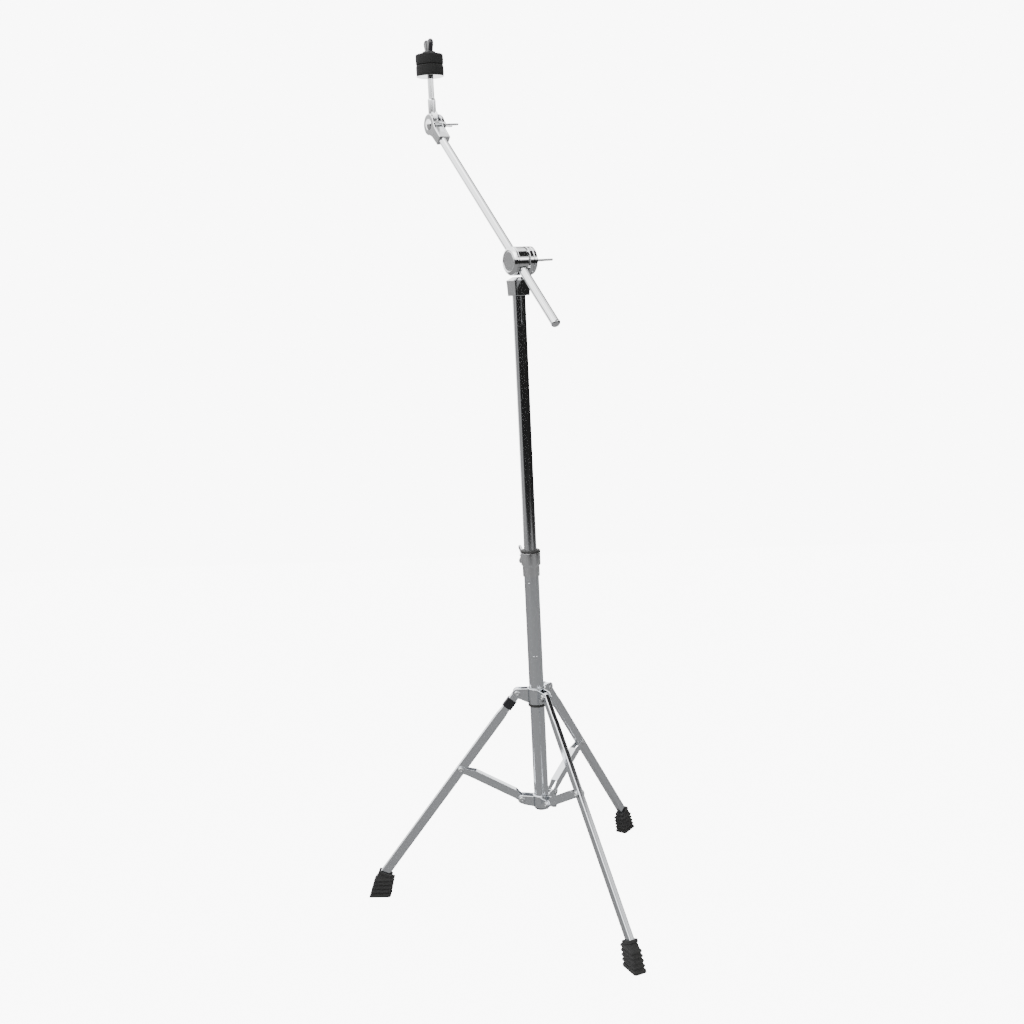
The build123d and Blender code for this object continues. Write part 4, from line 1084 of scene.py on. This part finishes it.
@dataclass
class Tilter:
    """Boom tilter on top of the middle tube: block, discs, holder and wing nut."""

    radius: float = 20.55

    def build(self) -> None:
        """Models the tilter's pieces."""
        self.centre = joint_place("boom_tilt")
        self.axis = joint_axis("boom_tilt")
        self.boom = joint_axis("boom_twist")
        self.middle_tube()
        self.base()
        self.outer_washer()
        self.holder()
        self.nut()

    def reach(self, node: str) -> tuple[float, float]:
        """Reach of a node along the tilter's axis, in millimetres."""
        start, end = span_along(node, self.centre, self.axis)
        return start / MM, end / MM

    def along(self, distance: float) -> Matrix:
        """Axes with Z along the tilter's axis at a distance in millimetres, and Y upwards."""
        return axes(self.centre + self.axis * distance * MM, self.axis, UP.cross(self.axis))

    @staticmethod
    def middle_tube() -> None:
        """Thin polished tube."""
        radius = radius_of("middle_tube")
        piece = ring("upper_tube", radius, radius - 1.2 * MM, low("middle_tube"), high("middle_tube"), 0.3 * MM)
        hand_over(piece, MAST_CHROME, "mast", ["middle_tube"])

    def disc(self, name: str, start: float, end: float, bore: float, teeth_at: Sequence[float] = (),
             rounding: float = 0.9) -> bpy.types.Object:
        """Disc of the tilter between two distances along its axis, with toothed faces where asked."""
        skirt = 1.3
        inset_low = skirt if start in teeth_at else 0.0
        inset_high = skirt if end in teeth_at else 0.0
        radius = self.radius * MM
        profile = [(bore * MM, (start + inset_low) * MM), (radius, (start + inset_low) * MM),
                   (radius, (end - inset_high) * MM), (bore * MM, (end - inset_high) * MM)]
        if bore:
            profile.append(profile[0])
        parts = [turned("disc", profile, 128, rounding * MM)]
        for level in teeth_at:
            inward = 1 if level == start else -1
            outline = gear(radius - 0.25 * MM, 0.7 * MM, 60)
            teeth = plate("teeth", outline, skirt * MM)
            middle = level + inward * skirt / 2
            parts.append(place(teeth, Matrix.Translation((0, 0, middle * MM))))
        piece = join(name, parts)
        return place(piece, self.along(0))

    def base(self) -> None:
        """Cast block on the tube, with a neck up to the fixed disc."""
        bottom = low("tilter_base")
        disc_start = self.reach("boom_holder")[1] + 0.4
        disc_end = self.reach("tilter_shim")[0]
        side = 23.2
        block = slab("block", rounded(side * MM, side * MM, 2.6 * MM, 5), [
            Section(0.02 * MM, (side - 3.2) * MM, (side - 3.2) * MM), Section(0.7 * MM, (side - 2.0) * MM, (side - 2.0) * MM),
            Section(18.2 * MM, (side - 0.6) * MM, (side - 0.6) * MM), Section(20.6 * MM, side * MM, side * MM),
            Section(21.7 * MM, side * MM, side * MM), Section(22.5 * MM, (side - 1.2) * MM, (side - 1.2) * MM, 0.3 * MM),
            Section(24.4 * MM, (side - 5.4) * MM, (side - 4.4) * MM, 1.6 * MM),
            Section(26.6 * MM, (side - 9.8) * MM, (side - 6.8) * MM, 3.4 * MM)])
        place(block, axes(UP * bottom, UP, self.axis))
        middle = (disc_start + disc_end) / 2
        neck_low = (bottom - self.centre.z) / MM + 20.0
        outline = [(-9.1, neck_low), (9.1, neck_low), (10.0, neck_low + 8.0), (13.5, neck_low + 14.0), (13.5, -4.0),
                   (-13.5, -4.0), (-13.5, neck_low + 14.0), (-10.0, neck_low + 8.0)]
        neck = plate("neck", [(x * MM, y * MM) for x, y in outline], (disc_end - disc_start - 0.3) * MM, 0.9 * MM, 4)
        place(neck, self.along(middle))
        ratchet = self.disc("disc", disc_start, disc_end, 4.1, (disc_start,), 0.8)
        piece = join("tilter_block", [block, neck, ratchet])
        radius = radius_of("middle_tube") + 0.02 * MM
        cut(piece, [rod_tool(UP * (bottom - 0.002), UP * (high("middle_tube") + 0.02 * MM), radius)])
        hand_over(piece, BRIGHT_CHROME, "mast", ["tilter_base"])

    def outer_washer(self) -> None:
        """Plain outer disc with a stepped face."""
        start, end = self.reach("tilter_outer_washer")
        radius = self.radius
        profile = [(4.1, start), (radius - 0.9, start), (radius, start + 0.9), (radius, end - 1.6), (radius - 1.2, end - 0.7),
                   (radius - 5.0, end - 0.7), (radius - 5.8, end), (4.1, end), (4.1, start)]
        piece = turned("outer_disc", [(r * MM, z * MM) for r, z in profile], 128, 0.45 * MM)
        hand_over(place(piece, self.along(0)), BRIGHT_CHROME, "mast", ["tilter_outer_washer"])

    def boom_tool(self) -> bpy.types.Object:
        """Cutter for the boom's hole."""
        return rod_tool(self.centre - self.boom * 0.03, self.centre + self.boom * 0.03, 7.0 * MM)

    def holder(self) -> None:
        """Turning half: a toothed disc and a domed cap, both pierced by the boom."""
        start, end = self.reach("boom_holder")
        piece = self.disc("holder_disc", start + 0.05, end, 0.0, (end,), 0.8)
        cut(piece, [self.boom_tool()])
        hand_over(piece, BRIGHT_CHROME, "holder", ["boom_holder"])
        start, end = self.reach("boom_holder_cap")
        radius = self.radius
        profile = [(0, start + 0.5), (12.0, start + 0.5), (13.5, start + 0.45), (13.8, start + 0.8), (14.5, start + 0.8),
                   (14.9, start + 0.05), (16.4, start + 0.05), (17.6, start + 0.75), (19.6, start + 2.7),
                   (radius, start + 4.1), (radius, end - 0.8), (radius - 0.8, end - 0.05), (0, end - 0.05)]
        cap = turned("holder_cap", [(r * MM, z * MM) for r, z in profile], 128, 0.25 * MM)
        place(cap, self.along(0))
        cut(cap, [self.boom_tool()])
        hand_over(cap, BRIGHT_CHROME, "holder", ["boom_holder_cap"])

    def nut(self) -> None:
        """Large cast wing nut."""
        start = self.reach("tilter_wing_nut")[0]
        nut = Wings(7.6, 7.5, 16.4, 28.9, 4.6, 3.4, bore=4.1).build("tilter_nut", 6.8, 0.38)
        hand_over(place(nut, self.along(start)), BRIGHT_CHROME, "tilter_nut", ["tilter_wing_nut"])


@dataclass
class Boom:
    """Boom arm with its end cap, the yoke at its head and the hinge's bolt, washer and nut."""

    def build(self) -> None:
        """Models the boom's pieces."""
        self.centre = joint_place("boom_tilt")
        self.hinge = joint_place("rod_tilt")
        self.axis = joint_axis("rod_tilt")
        self.up = joint_axis("boom_twist")
        self.arm()
        self.yoke()
        self.fastenings()

    def arm(self) -> None:
        """Polished tube and its rounded end cap."""
        start, end = span_along("boom_arm", self.centre, self.up)
        where = axes(self.centre, self.up, self.axis)
        tube = ring("boom_tube", 6.35 * MM, 4.85 * MM, start, end, 0.25 * MM, 80)
        hand_over(place(tube, where), BRIGHT_CHROME, "boom", ["boom_arm"])
        low_end, cap_top = span_along("boom_end_cap", self.centre, self.up)
        profile = [(0, low_end), (3.2 * MM, low_end + 0.1 * MM), (5.0 * MM, low_end + 0.8 * MM),
                   (6.3 * MM, low_end + 2.0 * MM), (6.9 * MM, low_end + 3.2 * MM), (6.9 * MM, start - 0.5 * MM),
                   (6.5 * MM, start - 0.03 * MM), (4.8 * MM, start - 0.03 * MM), (4.8 * MM, cap_top), (0, cap_top)]
        cap = turned("boom_cap", profile, 72, 0.3 * MM)
        hand_over(place(cap, where), BRIGHT_CHROME, "boom", ["boom_end_cap"])

    def yoke(self) -> None:
        """Cast fork: two cheeks on a block, melted together."""
        start, end = (value / MM for value in span_along("boom_yoke", self.hinge, self.axis))
        outline = ([(-40.8, -7.8)] + [(-20.0, -8.6), (-12.5, -11.0)] + arc((0, 0), 16.2, -136, 136, 44)
                   + [(-12.5, 11.0), (-20.0, 8.6), (-40.8, 7.8)])
        parts = []
        for middle in (start + 1.75, end - 1.75):
            cheek = plate("cheek", [(x * MM, y * MM) for x, y in outline], 3.4 * MM, 0.6 * MM, 3)
            parts.append(place(cheek, Matrix.Translation((0, 0, middle * MM))))
        block = plate("root", [(-40.8 * MM, -7.8 * MM), (-27.2 * MM, -7.8 * MM), (-27.2 * MM, 7.8 * MM),
                               (-40.8 * MM, 7.8 * MM)], (end - start - 0.1) * MM, 1.6 * MM, 4)
        parts.append(place(block, Matrix.Translation((0, 0, (start + end) / 2 * MM))))
        piece = cast(join("yoke", parts), 0.42 * MM, 5)
        place(piece, axes(self.hinge, self.axis, self.up))
        cut(piece, [rod_tool(self.hinge - self.axis * 0.02, self.hinge + self.axis * 0.02, 3.03 * MM)])
        hand_over(piece, BRIGHT_CHROME, "boom", ["boom_yoke"])

    def fastenings(self) -> None:
        """Carriage bolt, toothed washer and wing nut of the rod's hinge."""
        where = axes(self.hinge, self.axis, self.up)
        start, end = (value / MM for value in span_along("rod_hinge_bolt", self.hinge, self.axis))
        head = start + 2.6
        profile = [(0, start + 0.05), (3.4, start + 0.15), (6.0, start + 0.7), (7.8, start + 1.6), (8.45, start + 2.3),
                   (8.45, head - 0.03), (2.97, head - 0.03), (2.97, head + 20.0)]
        depth = head + 20.0
        while depth < end - 1.0:
            profile += [(2.95, depth), (2.6, depth + 0.45)]
            depth += 0.9
        profile += [(2.3, end), (0, end)]
        bolt = turned("hinge_bolt", [(r * MM, z * MM) for r, z in profile], 64)
        hand_over(place(bolt, where), BRIGHT_CHROME, "boom", ["rod_hinge_bolt"])
        start, end = (value / MM for value in span_along("rod_hinge_washer", self.hinge, self.axis))
        profile = [(3.02, start), (14.9, start), (14.95, start + 0.8), (14.4, end - 0.8), (13.2, end), (3.02, end),
                   (3.02, start)]
        washer = turned("hinge_washer", [(r * MM, z * MM) for r, z in profile], 80, 0.25 * MM)
        hand_over(place(washer, where), BRIGHT_CHROME, "boom", ["rod_hinge_washer"])
        start = span_along("rod_wing_nut", self.hinge, self.axis)[0] / MM
        nut = Wings(6.4, 6.5, 14.4, 24.9, 4.4, 3.0, bore=3.1).build("hinge_nut", 6.0)
        place(nut, axes(self.hinge + self.axis * start * MM, self.axis, UP.cross(self.axis)))
        hand_over(nut, BRIGHT_CHROME, "rod_nut", ["rod_wing_nut"])


@dataclass
class CymbalRod:
    """Tilting rod with its hub, seat washer, two felts and the top wing nut."""

    nut_turn: float = -6.0

    def build(self) -> None:
        """Models the rod's pieces."""
        self.hinge = joint_place("rod_tilt")
        self.axis = joint_axis("rod_tilt")
        self.rod()
        self.washer()
        self.felts()
        self.top_nut()

    def height(self, node: str) -> tuple[float, float]:
        """Reach of a node above the rod's hinge, in millimetres."""
        return (low(node) - self.hinge.z) / MM, (high(node) - self.hinge.z) / MM

    def rod(self) -> None:
        """Hub, neck, rod and threaded stud."""
        seat = self.height("seat_washer")[0]
        top = self.height("cymbal_rod")[1]
        profile = [(0, 4.0), (5.8, 6.0), (6.15, 9.0), (6.15, 36.0), (5.95, 37.6), (5.3, 38.6), (4.75, 39.0), (4.73, 42.0),
                   (4.73, seat - 0.5), (4.3, seat - 0.02), (2.98, seat - 0.02), (2.98, seat + 26.0)]
        depth = seat + 26.0
        while depth < top - 1.4:
            profile += [(2.96, depth), (2.5, depth + 0.5)]
            depth += 1.0
        profile += [(2.2, top), (0, top)]
        shaft = turned("shaft", [(r * MM, z * MM) for r, z in profile], 64)
        place(shaft, axes(self.hinge, UP, self.axis))
        start, end = -4.15, 7.15
        thick = end - start
        hub = turned("hub", [(3.1 * MM, start * MM), (15.35 * MM, start * MM), (15.35 * MM, end * MM),
                             (3.1 * MM, end * MM), (3.1 * MM, start * MM)], 96, 0.7 * MM)
        place(hub, axes(self.hinge, self.axis, UP))
        shoulder = slab("shoulder", rounded(thick * MM, 12.3 * MM, 2.0 * MM), [
            Section(9.0 * MM, thick * MM, 12.3 * MM), Section(16.0 * MM, thick * MM, 12.3 * MM),
            Section(18.6 * MM, (thick - 0.8) * MM, 11.8 * MM), Section(19.4 * MM, (thick - 3.0) * MM, 9.8 * MM)])
        middle = self.hinge + self.axis * (start + end) / 2 * MM
        place(shoulder, axes(middle, UP, self.axis))
        piece = join("cymbal_post", [shaft, hub, shoulder])
        cut(piece, [rod_tool(self.hinge - self.axis * 0.02, self.hinge + self.axis * 0.02, 3.08 * MM)])
        hand_over(piece, BRIGHT_CHROME, "rod", ["cymbal_rod"])

    def washer(self) -> None:
        """Dished steel washer under the felts."""
        start, end = self.height("seat_washer")
        profile = [(3.02, start), (8.0, start), (20.3, start + 0.05), (21.1, start + 0.35), (21.25, start + 0.8),
                   (20.9, end - 0.02), (3.02, end - 0.02), (3.02, start)]
        piece = turned("seat", [(r * MM, z * MM) for r, z in profile], 112)
        hand_over(place(piece, axes(self.hinge, UP, self.axis)), BRIGHT_CHROME, "rod", ["seat_washer"])

    def felts(self) -> None:
        """Two thick felt rings with soft, slightly uneven rims."""
        for number, node in enumerate(("lower_felt", "upper_felt")):
            start, end = self.height(node)
            rim = [(21.1 + 0.35 * math.cos(a), (start + end) / 2 + (end - start - 2.0) / 2 * math.sin(a)) for a in
                   (math.radians(-70 + step * 14) for step in range(11))]
            inner = 5.25
            levels = [inner + (20.0 - inner) * step / 10 for step in range(11)]
            profile = ([(r, start + 0.16) for r in levels] + [(20.7, start + 0.45)] + rim + [(20.7, end - 0.45)]
                       + [(r, end - 0.16) for r in reversed(levels)]
                       + [(inner, start + (end - start) * step / 8) for step in range(7, 0, -1)]
                       + [(inner, start + 0.16)])
            piece = turned(f"{node}_pad", [(r * MM, z * MM) for r, z in profile], 160)
            place(piece, axes(self.hinge, UP, self.axis))
            pick(piece)
            clouds = bpy.data.textures.new(f"{node}_nap", "CLOUDS")
            clouds.noise_scale = 0.0016 + 0.0002 * number
            clouds.noise_depth = 3
            nap = piece.modifiers.new("nap", "DISPLACE")
            nap.texture = clouds
            nap.texture_coords = "LOCAL"
            nap.strength = 0.26 * MM
            nap.mid_level = 0.6
            bpy.ops.object.modifier_apply(modifier=nap.name)
            hand_over(piece, BLACK_FELT, "rod" if node == "lower_felt" else "felt", [node], 60.0)

    def top_nut(self) -> None:
        """Black wing nut with a flange."""
        start = self.height("top_wing_nut")[0]
        flange = turned("flange", [(0, 0.05 * MM), (9.5 * MM, 0.05 * MM), (10.3 * MM, 0.7 * MM), (10.3 * MM, 3.2 * MM),
                                   (9.5 * MM, 3.95 * MM), (0, 3.95 * MM)], 80)
        wings = Wings(6.6, 17.0, 14.4, 22.3, 6.6, 7.8).build("wings", 7.2, 0.36)
        piece = cast(join("top_nut", [wings, flange]), 0.34 * MM, 3)
        cut(piece, [rod_tool(Vector((0, 0, -0.002)), Vector((0, 0, 0.0165)), 3.05 * MM)])
        heading = Matrix.Rotation(math.radians(self.nut_turn), 3, "Z") @ UP.cross(self.axis)
        place(piece, axes(self.hinge + UP * start * MM, UP, heading))
        hand_over(piece, BLACK_PLASTIC, "cymbal_nut", ["top_wing_nut"])


@dataclass
class InnerPieces:
    """CAD nodes that stay as they are, mostly inside others, and only take a finish."""

    finishes: tuple[tuple[str, Finish], ...] = (
        ("base_tube_plug", BLACK_NYLON), ("middle_tube_guide", BLACK_NYLON), ("tilter_shim", STEEL),
        ("eye_bolt", STEEL), ("boom_liner", BLACK_NYLON), ("cymbal_sleeve", BLACK_NYLON))

    def build(self) -> None:
        """Dresses each node and shades it smooth."""
        for node, finish in self.finishes:
            piece = frame["nodes"][node]
            pick(piece)
            bpy.ops.object.shade_smooth_by_angle(angle=math.radians(30))
            piece.data.materials.clear()
            piece.data.materials.append(FINISHES[finish.name])


# ---------------------------------------------------------------------------------------------
# Studio
# ---------------------------------------------------------------------------------------------


@dataclass(frozen=True)
class Lamp:
    """Soft area light.

    Args:
        name: its name.
        place: where it hangs, in metres.
        aim: point it shines at.
        size: width of its square, in metres.
        power: strength in watts.
    """

    name: str
    place: tuple[float, float, float]
    aim: tuple[float, float, float]
    size: float
    power: float

    def hang(self) -> None:
        """Creates the light."""
        data = bpy.data.lights.new(self.name, "AREA")
        data.shape = "SQUARE"
        data.size = self.size
        data.energy = self.power
        lamp = bpy.data.objects.new(self.name, data)
        bpy.context.scene.collection.objects.link(lamp)
        lamp.location = self.place
        lamp.rotation_euler = (Vector(self.aim) - Vector(self.place)).to_track_quat("-Z", "Y").to_euler()


@dataclass(frozen=True)
class Viewpoint:
    """Camera of the main picture.

    Args:
        place: its place in metres.
        yaw: heading in radians, clockwise from +Y.
        pitch: how far it looks down, in radians.
        roll: turn about its own axis, in radians.
        focal: focal length in millimetres on a 36 mm sensor.
    """

    place: tuple[float, float, float] = (0.1008, -1.8254, 0.9363)
    yaw: float = -0.0686
    pitch: float = 0.178
    roll: float = -0.0476
    focal: float = 44.1

    def set_up(self) -> None:
        """Creates the camera and makes it the scene's own."""
        ahead = Vector((math.sin(self.yaw) * math.cos(self.pitch), math.cos(self.yaw) * math.cos(self.pitch),
                        -math.sin(self.pitch)))
        right = ahead.cross(UP).normalized()
        up = right.cross(ahead)
        across = right * math.cos(self.roll) + up * math.sin(self.roll)
        above = up * math.cos(self.roll) - right * math.sin(self.roll)
        data = bpy.data.cameras.new("camera")
        data.lens = self.focal
        data.sensor_width = 36.0
        camera = bpy.data.objects.new("camera", data)
        bpy.context.scene.collection.objects.link(camera)
        turn = Matrix((across, above, -ahead)).transposed().to_4x4()
        camera.matrix_world = Matrix.Translation(self.place) @ turn
        bpy.context.scene.camera = camera


@dataclass(frozen=True)
class Studio:
    """Pale floor, soft lights and a white room that is darker towards the camera.

    Args:
        floor_size: width of the square floor, in metres.
        backdrop: how bright the floor and the room look to the camera.
        lamps: the soft lights.
    """

    floor_size: float = 5.0
    backdrop: float = 9.0

    lamps: tuple[Lamp, ...] = (
        Lamp("key", (-1.6, -1.6, 2.6), (0, 0, 0.6), 1.6, 20.0),
        Lamp("fill", (2.0, -1.2, 1.6), (0, 0, 0.7), 1.0, 4.0),
        Lamp("top", (0.2, 0.6, 3.0), (0, 0, 0.4), 2.0, 24.0),
    )

    def build(self) -> None:
        """Creates the floor, lights, sky and camera."""
        deselect()
        bpy.ops.mesh.primitive_plane_add(size=self.floor_size, location=(0, 0, -0.0005))
        floor = bpy.context.object
        floor.name = "floor"
        material = bpy.data.materials.new("pale_floor")
        material.use_nodes = True
        shader = material.node_tree.nodes["Principled BSDF"]
        shader.inputs["Base Color"].default_value = (0.3, 0.3, 0.3, 1.0)
        shader.inputs["Roughness"].default_value = 0.8
        shader.inputs["Specular IOR Level"].default_value = 0.1
        seen = material.node_tree.nodes.new("ShaderNodeLightPath").outputs["Is Camera Ray"]
        material.node_tree.links.new(seen, shader.inputs["Emission Color"])
        shader.inputs["Emission Strength"].default_value = self.backdrop
        floor.data.materials.append(material)
        for lamp in self.lamps:
            lamp.hang()
        self.sky(self.backdrop)
        Viewpoint().set_up()

    @staticmethod
    def sky(backdrop: float) -> None:
        """World that is white to the camera; reflections see dark walls in front and to the right, grey to the left.

        Args:
            backdrop: how bright it looks to the camera.
        """
        world = bpy.data.worlds.new("studio")
        bpy.context.scene.world = world
        world.use_nodes = True
        tree = world.node_tree
        light = tree.nodes["Background"]
        direction = tree.nodes.new("ShaderNodeTexCoord").outputs["Generated"]
        split = tree.nodes.new("ShaderNodeSeparateXYZ")
        tree.links.new(direction, split.inputs[0])
        front = ramp(tree, split.outputs["Y"], -0.8, -0.1, 1.0, 0.0)
        right = ramp(tree, split.outputs["X"], -0.05, 0.2, 0.0, 1.0)
        beside = ramp(tree, split.outputs["Y"], 0.45, 0.65, 0.78, 0.0)
        level = ramp(tree, split.outputs["Z"], 0.12, 0.18, 1.0, 0.0)
        above = ramp(tree, split.outputs["Z"], 0.26, 0.36, 0.0, 0.97)
        wall = blend_values(tree, "MAXIMUM", blend_values(tree, "MAXIMUM", front, right), beside)
        dark = blend_values(tree, "MAXIMUM", blend_values(tree, "MULTIPLY", wall, level),
                            blend_values(tree, "MULTIPLY", right, above))
        mirrored = ramp(tree, dark, 0.0, 1.0, 3.2, 0.02)
        path = tree.nodes.new("ShaderNodeLightPath")
        glossy = blend_values(tree, "MULTIPLY", mirrored, path.outputs["Is Glossy Ray"])
        diffuse = blend_values(tree, "MULTIPLY", path.outputs["Is Diffuse Ray"], 0.8)
        seen = blend_values(tree, "MULTIPLY", path.outputs["Is Camera Ray"], backdrop)
        bright = blend_values(tree, "MAXIMUM", blend_values(tree, "MAXIMUM", glossy, diffuse), seen)
        tree.links.new(bright, light.inputs["Strength"])
        light.inputs["Color"].default_value = (1.0, 1.0, 1.0, 1.0)


def main() -> None:
    """Builds the stand and the studio."""
    logging.basicConfig(level=logging.INFO, format="%(name)s: %(message)s")
    assemblies = [BaseAssembly(), LegCollar(), Leg(1), Leg(2), Leg(3), Tilter(), Boom(), CymbalRod(), InnerPieces()]
    for assembly in assemblies:
        assembly.build()
        LOG.info("%s done", type(assembly).__name__)
    Studio().build()
    deselect()


if __name__ == "__main__":
    main()
